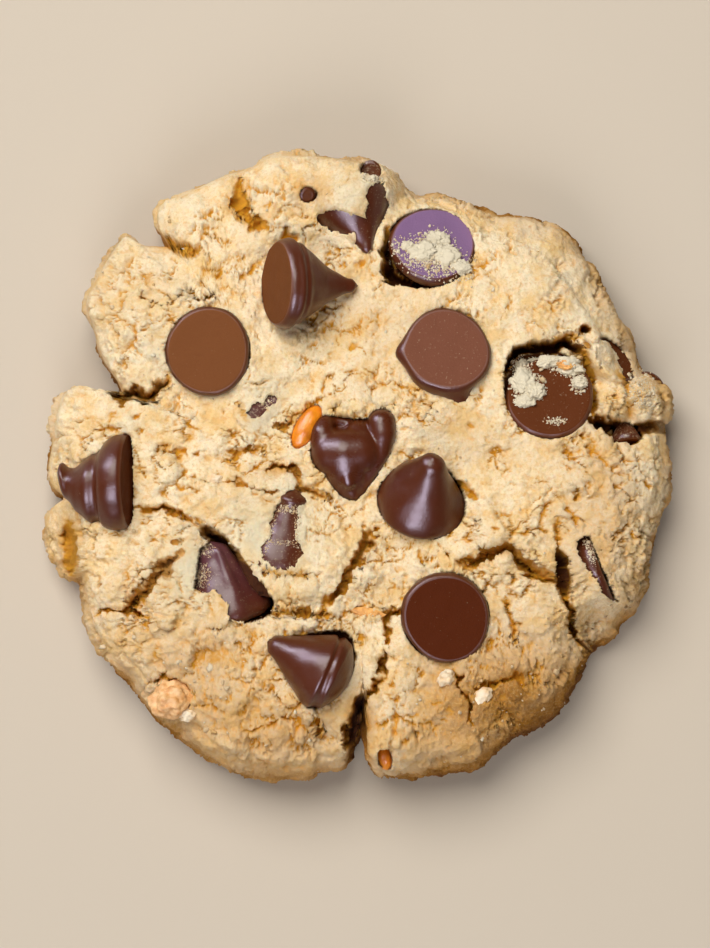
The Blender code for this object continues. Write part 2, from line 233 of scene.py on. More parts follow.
def points_of(mesh: bpy.types.Mesh, what: str = "co") -> Array:
    """A mesh's points in millimetres, or with "normal" their outward directions."""
    values = np.empty(len(mesh.vertices) * 3, np.float32)
    mesh.vertices.foreach_get(what, values)
    return values.reshape(-1, 3) * (1 if what == "normal" else 1 / MM)


def paint(piece: bpy.types.Object, **fields: Array) -> None:
    """Stores one number for each point under each name, for the finish to read."""
    for name, values in fields.items():
        layer = piece.data.attributes.new(name, "FLOAT", "POINT")
        layer.data.foreach_set("value", np.asarray(values, np.float32))


def dress(
    piece: bpy.types.Object, finishes: list[bpy.types.Material], slot: str, *nodes: str
) -> bpy.types.Object:
    """Gives a piece its finish and its place in the frame, and reports it.

    Args:
        piece: the object.
        finishes: its materials, in the order that its faces number them.
        slot: the record's slot; not used.
        nodes: the solids that it stands for.

    Returns:
        The same object.
    """
    for finish in finishes:
        piece.data.materials.append(finish)
    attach(piece, BODY)
    if nodes:
        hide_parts(*nodes)
    LOG.info("%s: %d faces", piece.name, len(piece.data.polygons))
    return piece


# --------------------------------------
# Finishes
# --------------------------------------


def linear(code: str) -> tuple[float, float, float, float]:
    """An sRGB hex colour as linear RGB with an alpha of 1."""
    parts = [int(code[i : i + 2], 16) / 255 for i in (1, 3, 5)]
    return (*(c / 12.92 if c <= 0.04045 else ((c + 0.055) / 1.055) ** 2.4 for c in parts), 1.0)


def feed(tree: bpy.types.NodeTree, node: bpy.types.Node, links: dict) -> None:
    """Feeds a node's inputs.

    Args:
        tree: the material's node tree.
        node: the node.
        links: an input's name or number to the output that feeds it, or to a plain value.
    """
    for name, source in links.items():
        if isinstance(source, bpy.types.NodeSocket):
            tree.links.new(source, node.inputs[name])
        else:
            node.inputs[name].default_value = source


def add(tree: bpy.types.NodeTree, kind: str, links: dict | None = None, **settings) -> bpy.types.Node:
    """Adds one node with its settings and links.

    Args:
        tree: the material's node tree.
        kind: Blender's name for the node.
        links: what feeds its inputs.
        settings: the node's own properties.

    Returns:
        The node.
    """
    node = tree.nodes.new(kind)
    for name, value in settings.items():
        setattr(node, name, value)
    feed(tree, node, links or {})
    return node


def blank(name: str) -> tuple[bpy.types.Material, bpy.types.NodeTree, bpy.types.Node]:
    """A material with only its shader.

    Args:
        name: the material's name.

    Returns:
        The material, its tree and its shader.
    """
    material = bpy.data.materials.new(name)
    material.use_nodes = True
    tree = material.node_tree
    return material, tree, tree.nodes["Principled BSDF"]


@dataclass(frozen=True)
class BakedDough:
    """Peanut butter dough, pressed by hand and baked: a dry matte crust, pale on top, orange where it has
    cracked, with the same orange as painted shade in its hollows, browned down the side and under the foot,
    with painted shade darkening the lower side and the notch, and a painted dark shade deep in cracks and
    under chips. The mesh says where each of these lies."""

    crust: str = "#F4E3C1"
    sand: str = "#EDCB91"
    # the orange of cracked crust, also laid as painted shade in hollows
    split: str = "#CE9328"
    # browned crust, also laid as painted shade on the lower side and in the notch
    toast: str = "#B27A24"
    foot: str = "#6E4210"
    # painted shade: the dark inside deep cracks and under chips
    deep: str = "#4E280A"
    dust: str = "#D6CDB0"
    fleck: str = "#E4A754"
    shade: str = "#DCB87A"
    grain_mm: float = 0.3  # flour and sugar grit, drawn coarser than the real 0.15 mm so that it shows
    mottle_mm: float = 3.4  # patches where the dough dried at different rates
    roughness: float = 0.88
    ior: float = 1.45
    bump_mm: float = 0.11
    shine: float = 0.15  # dry flour mirrors next to nothing
    glow: float = 0.17  # light that soaks into the crumb and comes out warmer, which softens every edge
    glow_mm: float = 0.85
    glow_reach: tuple[float, float, float] = (1.0, 0.6, 0.28)

    def material(self) -> bpy.types.Material:
        """The finish as nodes."""
        made, tree, shader = blank("baked_peanut_dough")
        place = add(tree, "ShaderNodeTexCoord").outputs["Object"]
        broad, fine = 1 / (self.mottle_mm * MM), 1 / (self.grain_mm * MM)
        noises = []
        for size, detail, rough in ((broad, 8.0, 0.68), (2.7 * broad, 5.0, 0.6), (fine, 3.0, 0.7)):
            parts = {"Vector": place, "Scale": size, "Detail": detail, "Roughness": rough}
            noises.append(add(tree, "ShaderNodeTexNoise", parts).outputs["Fac"])
        mottle, flecks, grit = noises
        grains = add(tree, "ShaderNodeTexVoronoi", {"Vector": place, "Scale": fine / 2})
        laid = {
            name: add(tree, "ShaderNodeAttribute", attribute_name=name).outputs["Fac"]
            for name in ("split", "toast", "dust", "deep")
        }
        shares = []
        for value, low, high, most in (
            (mottle, 0.43, 0.62, 1.0),
            (laid["toast"], 0.75, 1.3, 1.0),
            (flecks, 0.57, 0.72, 0.55),
            (grit, 0.5, 0.72, 0.7),
        ):
            span = {"Value": value, "From Min": low, "From Max": high, "To Max": most}
            shares.append(add(tree, "ShaderNodeMapRange", span).outputs["Result"])
        sandy, foot, specks, grainy = shares
        colour = linear(self.crust)
        layers = (
            (sandy, self.sand),
            # browning, with painted shade down the lower side and in the notch
            (laid["toast"], self.toast),
            (grainy, self.shade),
            (foot, self.foot),
            # the orange of cracked crust, with painted shade in hollows
            (laid["split"], self.split),
            (specks, self.fleck),
            (laid["dust"], self.dust),
            # painted dark shade deep in cracks and under chips
            (laid["deep"], self.deep),
        )
        for amount, code in layers:
            parts = {"Factor": amount, "A": colour, "B": linear(code)}
            colour = add(tree, "ShaderNodeMix", parts, data_type="RGBA").outputs["Result"]
        parts = {0: grit, 1: grains.outputs["Distance"]}
        height = add(tree, "ShaderNodeMath", parts, operation="ADD").outputs["Value"]
        bump = add(tree, "ShaderNodeBump", {"Height": height, "Distance": self.bump_mm * MM, "Strength": 1.0})
        looks = {
            "Base Color": colour,
            "Normal": bump.outputs["Normal"],
            "Roughness": self.roughness,
            "IOR": self.ior,
            "Specular IOR Level": self.shine,
            "Subsurface Weight": self.glow,
            "Subsurface Radius": self.glow_reach,
            "Subsurface Scale": self.glow_mm * MM,
        }
        feed(tree, shader, looks)
        return made


@dataclass(frozen=True)
class Chocolate:
    """Dark chocolate, deposited as morsels and softened in the oven: satin where it melted and set again,
    matte and paler on the flat face that lay on the maker's belt, with specks of dough dust where it was
    kneaded in."""

    name: str
    shine: float  # the belt face hardly mirrors anything
    melted: str = "#542308"
    belt: str = "#794928"
    bloom: str = "#886C98"  # fat bloom that came to the surface, with a painted lilac reflection of the light over it
    dust: str = "#D9C9A6"
    melted_roughness: float = 0.21
    belt_roughness: float = 0.6
    melted_grit: float = 0.3
    belt_grit: float = 1.0
    ior: float = 1.5
    grit_mm: float = 0.3  # cocoa grit and dust specks, drawn coarser than real
    grit_height_mm: float = 0.08
    clouding: float = 0.16  # how much the gloss varies from place to place

    def material(self) -> bpy.types.Material:
        """The finish as nodes."""
        made, tree, shader = blank(self.name)
        place = add(tree, "ShaderNodeTexCoord").outputs["Object"]
        size = 1 / (self.grit_mm * MM)
        parts = {"Vector": place, "Scale": size, "Detail": 5.0, "Roughness": 0.65}
        grit = add(tree, "ShaderNodeTexNoise", parts)
        cloud = add(tree, "ShaderNodeTexNoise", {"Vector": place, "Scale": size / 6, "Detail": 3.0})
        laid = {
            name: add(tree, "ShaderNodeAttribute", attribute_name=name).outputs["Fac"]
            for name in ("matte", "dusting", "sheen", "bloom")
        }
        parts = {0: laid["dusting"], 1: 0.5, 2: grit.outputs["Fac"]}
        specked = add(tree, "ShaderNodeMath", parts, operation="MULTIPLY_ADD").outputs["Value"]
        span = {"Value": specked, "From Min": 0.66, "From Max": 0.95, "To Max": 0.8}
        dusty = add(tree, "ShaderNodeMapRange", span).outputs["Result"]
        colour = linear(self.melted)
        # The lilac laid over the brown is fat bloom with a painted reflection of the light.
        layers = ((laid["matte"], self.belt), (laid["bloom"], self.bloom), (dusty, self.dust))
        for amount, code in layers:
            parts = {"Factor": amount, "A": colour, "B": linear(code)}
            colour = add(tree, "ShaderNodeMix", parts, data_type="RGBA").outputs["Result"]
        span = {"Value": laid["sheen"], "To Min": self.melted_roughness, "To Max": self.belt_roughness}
        satin = add(tree, "ShaderNodeMapRange", span).outputs["Result"]
        parts = {0: cloud.outputs["Fac"], 1: self.clouding, 2: satin}
        satin = add(tree, "ShaderNodeMath", parts, operation="MULTIPLY_ADD").outputs["Value"]
        span = {"Value": laid["sheen"], "To Min": self.melted_grit, "To Max": self.belt_grit}
        gritty = add(tree, "ShaderNodeMapRange", span).outputs["Result"]
        parts = {"Height": grit.outputs["Fac"], "Distance": self.grit_height_mm * MM, "Strength": gritty}
        bump = add(tree, "ShaderNodeBump", parts)
        looks = {
            "Base Color": colour,
            "Roughness": satin,
            "Normal": bump.outputs["Normal"],
            "IOR": self.ior,
            "Specular IOR Level": self.shine,
        }
        feed(tree, shader, looks)
        return made


@dataclass(frozen=True)
class DryCrumb:
    """Loose baked crumb and dough dust: dry, matte and paler than the crust, each grain a little apart."""

    pale: str = "#DDD3BA"
    tan: str = "#C4974F"
    roughness: float = 0.9
    shine: float = 0.2

    def material(self) -> bpy.types.Material:
        """The finish as nodes."""
        made, tree, shader = blank("baked_crumb")
        tone = add(tree, "ShaderNodeAttribute", attribute_name="tone").outputs["Fac"]
        parts = {"Factor": tone, "A": linear(self.pale), "B": linear(self.tan)}
        colour = add(tree, "ShaderNodeMix", parts, data_type="RGBA").outputs["Result"]
        looks = {"Base Color": colour, "Roughness": self.roughness, "Specular IOR Level": self.shine}
        feed(tree, shader, looks)
        return made


@dataclass(frozen=True)
class Candy:
    """Roast nut or butterscotch, broken by hand: one body colour, mottled darker, with its own gloss."""

    name: str
    body: str
    shade: str
    roughness: float
    mottle_mm: float = 0.9
    bump_mm: float = 0.12

    def material(self) -> bpy.types.Material:
        """The finish as nodes."""
        made, tree, shader = blank(self.name)
        place = add(tree, "ShaderNodeTexCoord").outputs["Object"]
        size = 1 / (self.mottle_mm * MM)
        parts = {"Vector": place, "Scale": size, "Detail": 5.0, "Roughness": 0.6}
        mottle = add(tree, "ShaderNodeTexNoise", parts)
        span = {"Value": mottle.outputs["Fac"], "From Min": 0.4, "From Max": 0.68}
        amount = add(tree, "ShaderNodeMapRange", span).outputs["Result"]
        parts = {"Factor": amount, "A": linear(self.body), "B": linear(self.shade)}
        colour = add(tree, "ShaderNodeMix", parts, data_type="RGBA").outputs["Result"]
        parts = {"Height": mottle.outputs["Fac"], "Distance": self.bump_mm * MM}
        bump = add(tree, "ShaderNodeBump", parts)
        looks = {"Base Color": colour, "Normal": bump.outputs["Normal"], "Roughness": self.roughness}
        feed(tree, shader, looks)
        return made


MELTED = Chocolate("melted_chocolate", 0.5)
BELT_FACE = Chocolate("belt_chocolate", 0.04)
ROAST_PEANUT = Candy("roast_peanut", "#F2C68C", "#D8964C", 0.62)
NUT_BIT = Candy("nut_bit", "#F4E4C6", "#E8BE84", 0.6, 1.5)
FLAKE = Candy("toasted_flake", "#F0B460", "#D08A38", 0.7)
BUTTERSCOTCH = Candy("butterscotch_chip", "#F69512", "#D67408", 0.36, 1.6)


# --------------------------------------
# Chips
# --------------------------------------


@dataclass(frozen=True)
class Oval:
    """A place on the cookie seen from above: its middle, half-axes and turn."""

    x: float
    y: float
    across: float
    along: float
    turn: float = 0.0

    def level(self, x: Array, y: Array) -> Array:
        """0 at its middle, 1 on its rim, and growing as the square of the distance."""
        turn = math.radians(self.turn)
        dx, dy = x - self.x, y - self.y
        u = (dx * math.cos(turn) + dy * math.sin(turn)) / self.across
        v = (dy * math.cos(turn) - dx * math.sin(turn)) / self.along
        return u**2 + v**2


@dataclass(frozen=True)
class Mound(Oval):
    """A smooth rise of the top surface, or a sunken place where height is negative. A large edge gives it a
    flat top and a steep side."""

    height: float = 1.0
    edge: float = 1.0

    def share(self, x: Array, y: Array) -> Array:
        """1 at its middle, easing to 0 around it."""
        return np.exp(-(self.level(x, y) ** self.edge))


class Drop(Enum):
    """How a chip's side runs from its wide face to its tip: (share of the length, share of the radius)."""

    KISS = (
        (0.0, 0.95), (0.07, 1.0), (0.2, 0.95), (0.4, 0.72),
        (0.6, 0.44), (0.8, 0.22), (0.93, 0.13), (1.0, 0.0),
    )
    CONE = (
        (0.0, 0.94), (0.08, 1.0), (0.2, 0.94), (0.4, 0.74),
        (0.6, 0.53), (0.8, 0.34), (0.93, 0.22), (1.0, 0.0),
    )
    STUB = (
        (0.0, 0.96), (0.06, 1.0), (0.2, 0.99), (0.33, 0.88), (0.41, 0.72), (0.54, 0.69),
        (0.7, 0.5), (0.84, 0.33), (0.94, 0.25), (1.0, 0.0),
    )
    BLUNT = (
        (0.0, 0.94), (0.08, 1.0), (0.2, 0.94), (0.4, 0.74),
        (0.6, 0.55), (0.8, 0.4), (0.92, 0.3), (1.0, 0.0),
    )
    DOME = (
        (0.0, 0.95), (0.08, 1.0), (0.25, 0.96), (0.5, 0.8),
        (0.72, 0.55), (0.88, 0.31), (0.96, 0.17), (1.0, 0.0),
    )


@dataclass(frozen=True)
class Fold:
    """A ridge or groove that runs round a chip: where along its length, how high, how wide, how far it
    tilts and which way, in radians."""

    share: float
    height: float
    width: float
    tilt: float = 0.0
    turn: float = 0.0


@dataclass(frozen=True)
class Nub:
    """A place on a chip's side that sagged outward: the direction seen from above, how far down, how far
    out, how wide in degrees and how deep as a share of the length."""

    heading: float
    share: float
    height: float
    width: float
    depth: float = 0.12


@dataclass(frozen=True)
class Chip:
    """One teardrop chip. x, y and z are the middle of its wide face; heading and pitch say where its tip
    points.

    gap is the clearance to the dough all round, where a little less than nothing means that the dough grips
    it, and gap_more is added on the side towards gap_heading. curl bends the tip up as a share of the length,
    and sway moves the middle sideways: (share of the length, millimetres). belly is how far the wide face
    bulges. matte, sheen, dusting and bloom say how that face looks, where bloom is fat bloom with a painted
    lilac reflection of the light, and a sheen over 0.5 gives it the belt's chocolate. side_dust is how much
    dough dust clings to the rest, and side_bloom how lilac the rest gets towards the tip, a painted
    reflection as on the face. A chip with bare places is covered by dough everywhere else. cover is the most
    dough that may be cut away above it.
    """

    RIM = 0.45  # how wide the rounding of the wide face's rim is
    RIM_SHARE = 0.93  # the part of the wide face's radius that its rim starts at
    RIM_MATTE = 0.35
    SIDE_SHEEN = 0.08
    TAPER = (0.2, 1.5)  # folds and nubs fade out between these radii, towards the tip
    UNROUND = (0.03, 0.018)  # how far out of round it is, with two lobes and with three
    SAGS = ((3.4, 0.16), (0.9, 0.03))  # how far across its broad and its fine dents are, and how deep
    DISH = (2.6, 0.07)  # the same for the wide face

    node: str
    x: float
    y: float
    z: float
    heading: float
    pitch: float
    radius: float = 5.1
    length: float = 9.6
    curl: float = 0.0
    sway: tuple[Point, ...] = ((0.0, 0.0), (1.0, 0.0))
    drop: Drop = Drop.KISS
    folds: tuple[Fold, ...] = ()
    nubs: tuple[Nub, ...] = ()
    belly: float = 0.0
    gap: float = -0.08
    gap_more: float = 0.0
    gap_heading: float = 0.0
    matte: float = 1.0
    sheen: float = 1.0
    dusting: float = 0.0
    bloom: float = 0.0
    side_dust: float = 0.0
    side_bloom: float = 0.0
    bare: tuple[Oval, ...] = ()
    cover: float = 3.0
    around: int = 112
    along: int = 64

    def pose(self) -> Array:
        """Rows are the chip's own upper side, across and tip directions."""
        heading, pitch = math.radians(self.heading), math.radians(self.pitch)
        level = np.array((math.cos(heading), math.sin(heading), 0))
        up = np.array((0, 0, 1))
        axis = level * math.cos(pitch) + up * math.sin(pitch)
        upper = up * math.cos(pitch) - level * math.sin(pitch)
        return np.array((upper, np.cross(axis, upper), axis))

    def reach(self, share: Array) -> Array:
        """The side's radius at a share of the length, in millimetres."""
        along, out = zip(*self.drop.value)
        return self.radius * np.interp(share, along, out)

    def holds(self, place: Array) -> Array:
        """Whether each point lies in the chip or in the clearance round it."""
        away = place - np.array((self.x, self.y, self.z))
        local = away @ self.pose().T
        toward = np.cos(np.arctan2(away[:, 1], away[:, 0]) - math.radians(self.gap_heading))
        gap = self.gap + self.gap_more * np.clip(toward, 0, 1) ** 2
        share = local[:, 2] / self.length
        upper = local[:, 0] - self.curl * self.length * np.clip(share, 0, 1) ** 2
        out = np.hypot(upper, local[:, 1] - np.interp(share, *zip(*self.sway)))
        back = gap + self.belly * np.clip(1 - (out / self.radius) ** 2, 0, 1)
        along = (local[:, 2] > -back) & (local[:, 2] < self.length + gap)
        return along & (out < self.reach(np.clip(share, 0, 1)) + gap)

    def side(self) -> tuple[Array, Array]:
        """The turned outline from the middle of the wide face to the tip.

        Returns:
            Distances from the wide face and radii, in millimetres.
        """
        along, out = (np.array(part) for part in zip(*self.drop.value))
        face = out[0] * self.radius
        points = [(0.0, 0.0), (0.02, face * 0.5), (0.0, face - self.RIM * 0.6)]
        points += [(a * self.length, r * self.radius) for a, r in zip(along, out)]
        points[3] = (self.RIM * 0.35, face)
        curve = smooth_line(points, 14)
        curve[:, 1] = np.clip(curve[:, 1], 0, None)
        walked = np.concatenate([[0], np.cumsum(np.linalg.norm(np.diff(curve, axis=0), axis=1))])
        stops = np.linspace(0, walked[-1], self.along)
        return np.interp(stops, walked, curve[:, 0]), np.interp(stops, walked, curve[:, 1])

    def build(self, shift: Array, grain: Grain) -> bpy.types.Object:
        """The chip's mesh, in place.

        Args:
            shift: what centres the cookie.
            grain: the noise that makes it uneven.

        Returns:
            The new object.
        """
        profile = self.side()
        depth, out = (np.repeat(part[1:-1], self.around) for part in profile)
        turn = np.tile(np.arange(self.around) * 2 * math.pi / self.around, self.along - 2)
        share = depth / self.length
        seed = (self.x * 0.37 + self.y * 0.73) % 5  # no two chips alike
        oval, three_lobed = self.UNROUND
        uneven = oval * np.sin(2 * turn + seed * 3) + three_lobed * np.sin(3 * turn + seed * 7)
        out = self._swollen(out * (1 + uneven), share, turn)
        depth = depth - self.belly * np.clip(1 - (out / self.radius) ** 2, 0, 1) * ramp(share, 0.1, 0.0)
        local = np.column_stack([out * np.cos(turn), out * np.sin(turn), depth])
        local = np.vstack([[0, 0, profile[0][0] - self.belly], local, [0, 0, profile[0][-1]]])
        rows = np.concatenate([[0], np.repeat(np.arange(self.along - 2), self.around), [self.along]])
        wide = (rows < self._rim_rows()).astype(float)
        share = np.concatenate([[0], share, [1]])
        (broad, deep), (fine, shallow) = self.SAGS
        sway = grain.fractal(local, broad, 2, shift=seed * 9) * deep
        sway = sway + grain.smooth(local, fine, shift=seed) * shallow
        push = np.column_stack([local[:, 0], local[:, 1], np.zeros(len(local))])
        push /= np.maximum(np.linalg.norm(push, axis=1, keepdims=True), 0.5)
        local = local + push * (sway * (1 - wide))[:, None]
        local[:, 2] += wide * grain.fractal(local, self.DISH[0], 3, shift=seed * 4) * self.DISH[1]
        local[:, 0] += self.curl * self.length * np.clip(share, 0, 1) ** 2
        local[:, 1] += np.interp(share, *zip(*self.sway))
        verts = local @ self.pose() + np.array((self.x, self.y, self.z)) + shift
        quads, fans = self._faces()
        made = mesh_object(self.node.replace("chip", "dressed_chip"), verts, quads, fans)
        if self.sheen > 0.5:
            belt_face = np.concatenate([wide[quads].all(axis=1), wide[fans].all(axis=1)])
            made.data.polygons.foreach_set("material_index", belt_face.astype(np.int32))
        rim = (rows == self._rim_rows()) & (self.belly < 1)
        dusting = np.where(wide > 0, self.dusting, self.side_dust)
        matte = np.clip(wide * self.matte + rim * self.RIM_MATTE, 0, 1)
        sheen = np.where(wide > 0, self.sheen, self.SIDE_SHEEN)
        # The face's lilac, and the side's towards the tip, is a painted reflection of the light, with some
        # fat bloom.
        bloom = wide * self.bloom + (1 - wide) * self.side_bloom * share
        paint(made, matte=matte, sheen=sheen, dusting=dusting, bloom=bloom)
        return made

    def _swollen(self, out: Array, share: Array, turn: Array) -> Array:
        """The side with the chip's folds and nubs.

        Args:
            out: the radius at each point of the side.
            share: how far along the chip each lies, from 0 at its wide face to 1.
            turn: the direction of each round its axis, in radians.

        Returns:
            The new radii.
        """
        for fold in self.folds:
            away = share - fold.share - fold.tilt * np.cos(turn - fold.turn)
            out = out + fold.height * np.exp(-((away / fold.width) ** 2)) * ramp(out, *self.TAPER)
        for nub in self.nubs:
            turned = np.degrees(turn) - (self.heading - nub.heading)
            away = ((turned + 180) % 360 - 180) / nub.width
            swell = np.exp(-(away**2) - ((share - nub.share) / nub.depth) ** 2)
            out = out + nub.height * swell * ramp(out, *self.TAPER)
        return out

    def _rim_rows(self) -> int:
        """How many turned rows the wide face takes."""
        _, out = self.side()
        return int(np.argmax(out[1:] > self.RIM_SHARE * self.drop.value[0][1] * self.radius)) + 1

    def _faces(self) -> tuple[Array, Array]:
        """Corner numbers of the side's quads and of the fans at both ends."""
        rows, around = self.along - 2, self.around
        first = 1 + np.arange(rows * around).reshape(rows, around)
        after = np.roll(first, -1, axis=1)
        quads = np.stack([first[:-1], after[:-1], after[1:], first[1:]], axis=-1).reshape(-1, 4)
        tip = 1 + rows * around
        face = np.column_stack([np.zeros(around, int), after[0], first[0]])
        point = np.column_stack([first[-1], after[-1], np.full(around, tip)])
        return quads, np.vstack([face, point])


# --------------------------------------
# The swirled chip
# --------------------------------------


@dataclass(frozen=True)
class Swirl:
    """The chip that slumped in the oven: its tip folded over into a ring beside a long lobe. Each strand is
    a run of balls, (x, y, height over z, radius)."""

    BALLS = 8  # to each step of a strand
    SOFTENING = 17

    node: str = "chip_swirl"
    x: float = -0.4
    y: float = 1.0
    z: float = 13.75
    gap: float = -0.05
    bare: tuple[Oval, ...] = ()
    cover: float = 3.0
    voxel: float = 0.15
    strands: tuple[tuple[tuple[float, float, float, float], ...], ...] = (
        ((-2.8, 1.3, -0.5, 2.8), (-1.5, 1.2, -0.2, 3.0), (0.1, 1.4, -0.2, 2.8)),
        ((-1.4, 0.4, -0.5, 3.0), (-1.2, -0.9, -0.9, 2.6), (-0.9, -2.3, -1.2, 1.9), (-0.8, -3.4, -1.3, 0.95)),
        ((-4.0, 2.4, -0.1, 1.6), (-4.15, 3.6, 0.1, 1.35), (-3.9, 4.5, -0.1, 1.1)),
        ((-3.9, 4.5, -0.1, 1.1), (-3.0, 4.95, -0.7, 0.65), (-1.0, 4.8, -0.8, 0.6)),
        ((0.1, 2.4, -0.1, 2.0), (0.0, 3.4, -0.4, 1.7), (0.2, 4.0, -0.8, 1.3)),
        ((-2.4, 4.0, -1.9, 1.3), (-1.2, 4.0, -1.9, 1.3)),
        ((1.3, 3.9, -1.1, 1.5), (1.3, 1.6, -0.9, 1.9), (0.6, -0.6, -1.1, 1.9)),
        ((2.75, 4.7, 0.2, 1.68), (2.9, 3.5, 0.4, 1.6), (2.5, 1.5, 0.2, 1.35), (1.6, -0.3, -0.2, 1.15)),
        ((1.6, -0.3, -0.2, 1.15), (0.8, -1.6, -0.7, 1.1), (0.0, -2.9, -1.0, 1.0)),
        ((-1.3, -1.2, 1.1, 0.9), (-1.1, -2.1, 0.75, 0.95)),
        ((-0.8, -3.1, -0.6, 1.0), (-0.5, -3.5, -0.8, 0.9)),
    )

    def balls(self) -> Array:
        """Every ball of every strand, closely spaced: x, y, z, radius."""
        run = []
        for strand in self.strands:
            for a, b in zip(strand, strand[1:]):
                for t in np.linspace(0, 1, self.BALLS, endpoint=False):
                    run.append(np.array(a) * (1 - t) + np.array(b) * t)
            run.append(np.array(strand[-1]))
        balls = np.array(run)
        balls[:, 2] += self.z
        return balls

    def holds(self, place: Array) -> Array:
        """Whether each point lies in the chip or in the clearance round it."""
        inside = np.zeros(len(place), bool)
        for x, y, z, r in self.balls():
            away = place - np.array((x, y, z))
            inside |= np.einsum("ij,ij->i", away, away) < (r + self.gap) ** 2
        return inside

    def build(self, shift: Array) -> bpy.types.Object:
        """The balls run together into one smooth skin, in place."""
        bm = bmesh.new()
        for x, y, z, r in self.balls():
            place = Matrix.Translation(Vector((x, y, z)) + Vector(shift)) @ Matrix.Scale(r, 4)
            bmesh.ops.create_icosphere(bm, subdivisions=3, radius=1, matrix=place)
        bmesh.ops.scale(bm, vec=(MM, MM, MM), verts=bm.verts)
        rough = bpy.data.meshes.new("strands")
        bm.to_mesh(rough)
        bm.free()
        source = bpy.data.objects.new("strands", rough)
        bpy.context.scene.collection.objects.link(source)
        skin = source.modifiers.new("skin", "REMESH")
        skin.mode = "VOXEL"
        skin.voxel_size = self.voxel * MM
        soften = source.modifiers.new("soften", "SMOOTH")
        soften.factor = 0.5
        soften.iterations = self.SOFTENING
        mesh = baked_mesh(source)
        bpy.data.objects.remove(source)
        mesh.shade_smooth()
        made = bpy.data.objects.new("dressed_chip_swirl", mesh)
        bpy.context.scene.collection.objects.link(made)
        none = np.zeros(len(mesh.vertices))
        paint(made, matte=none, sheen=none, dusting=none, bloom=none)
        return made


def baked_mesh(source: bpy.types.Object) -> bpy.types.Mesh:
    """The object's mesh with its modifiers applied."""
    bpy.context.view_layer.update()
    graph = bpy.context.evaluated_depsgraph_get()
    return bpy.data.meshes.new_from_object(source.evaluated_get(graph), depsgraph=graph)


# --------------------------------------
# The dough
# --------------------------------------


@dataclass(frozen=True)
class Crack:
    """A split in the crust. half_width and depth are those of its middle; lift raises the dough on its left
    side as it is travelled, and fade is how far that lip reaches back. A small slope makes its walls
    steep."""

    points: tuple[Point, ...]
    half_width: float
    depth: float
    lift: float = 0.0
    fade: float = 2.5
    wander: float = 0.35
    slope: float = 0.6


@dataclass(frozen=True)
class Patch(Oval):
    """A part of the surface with its own grain: how strong its flakes, knobs and crumb are, how tan it is,
    which at the notch is painted shade, how much dust lies on it, and how much orange of cracked crust and
    painted recess shade shows."""

    flake: float = 1.0
    knob: float = 1.0
    crumb: float = 1.0
    tan: float = 0.0
    dust: float = 0.0
    split: float = 0.0


class Plan:
    """The cookie seen from above: how far its widest line, its brow and a core clear of every notch reach
    in each direction."""

    BINS = 1440
    CLEAR = 0.3  # how far the core stays inside the deepest notch near by

    def __init__(self, outline: list[Point], insets: list[Point]) -> None:
        """Reads both lines once, into tables by direction.

        Args:
            outline: the widest line, anticlockwise.
            insets: how far the brow lies inside it, by direction in degrees.
        """
        ring = smooth_line(outline, 30, closed=True)
        heading = np.degrees(np.arctan2(ring[:, 1], ring[:, 0])) % 360
        reach = np.zeros(self.BINS)
        np.maximum.at(reach, (heading / 360 * self.BINS).astype(int) % self.BINS, np.hypot(*ring.T))
        seen = np.nonzero(reach)[0]
        reach = np.interp(np.arange(self.BINS), seen, reach[seen], period=self.BINS)
        self.widest = (np.roll(reach, 1) + 2 * reach + np.roll(reach, -1)) / 4
        degrees = (np.arange(self.BINS) + 0.5) * 360 / self.BINS
        self.brow = self.widest - np.interp(degrees, *zip(*insets), period=360)
        spread = range(-(self.BINS // 30), self.BINS // 30 + 1)
        least = np.stack([np.roll(self.brow, i) for i in spread]).min(axis=0)
        self.core = np.mean([np.roll(least, i) for i in spread], axis=0) - self.CLEAR

    def at(self, table: Array, heading: Array) -> Array:
        """A table's reach in each direction, given in radians."""
        place = np.degrees(heading) % 360 / 360 * self.BINS - 0.5
        return np.interp(place, np.arange(self.BINS), table, period=self.BINS)


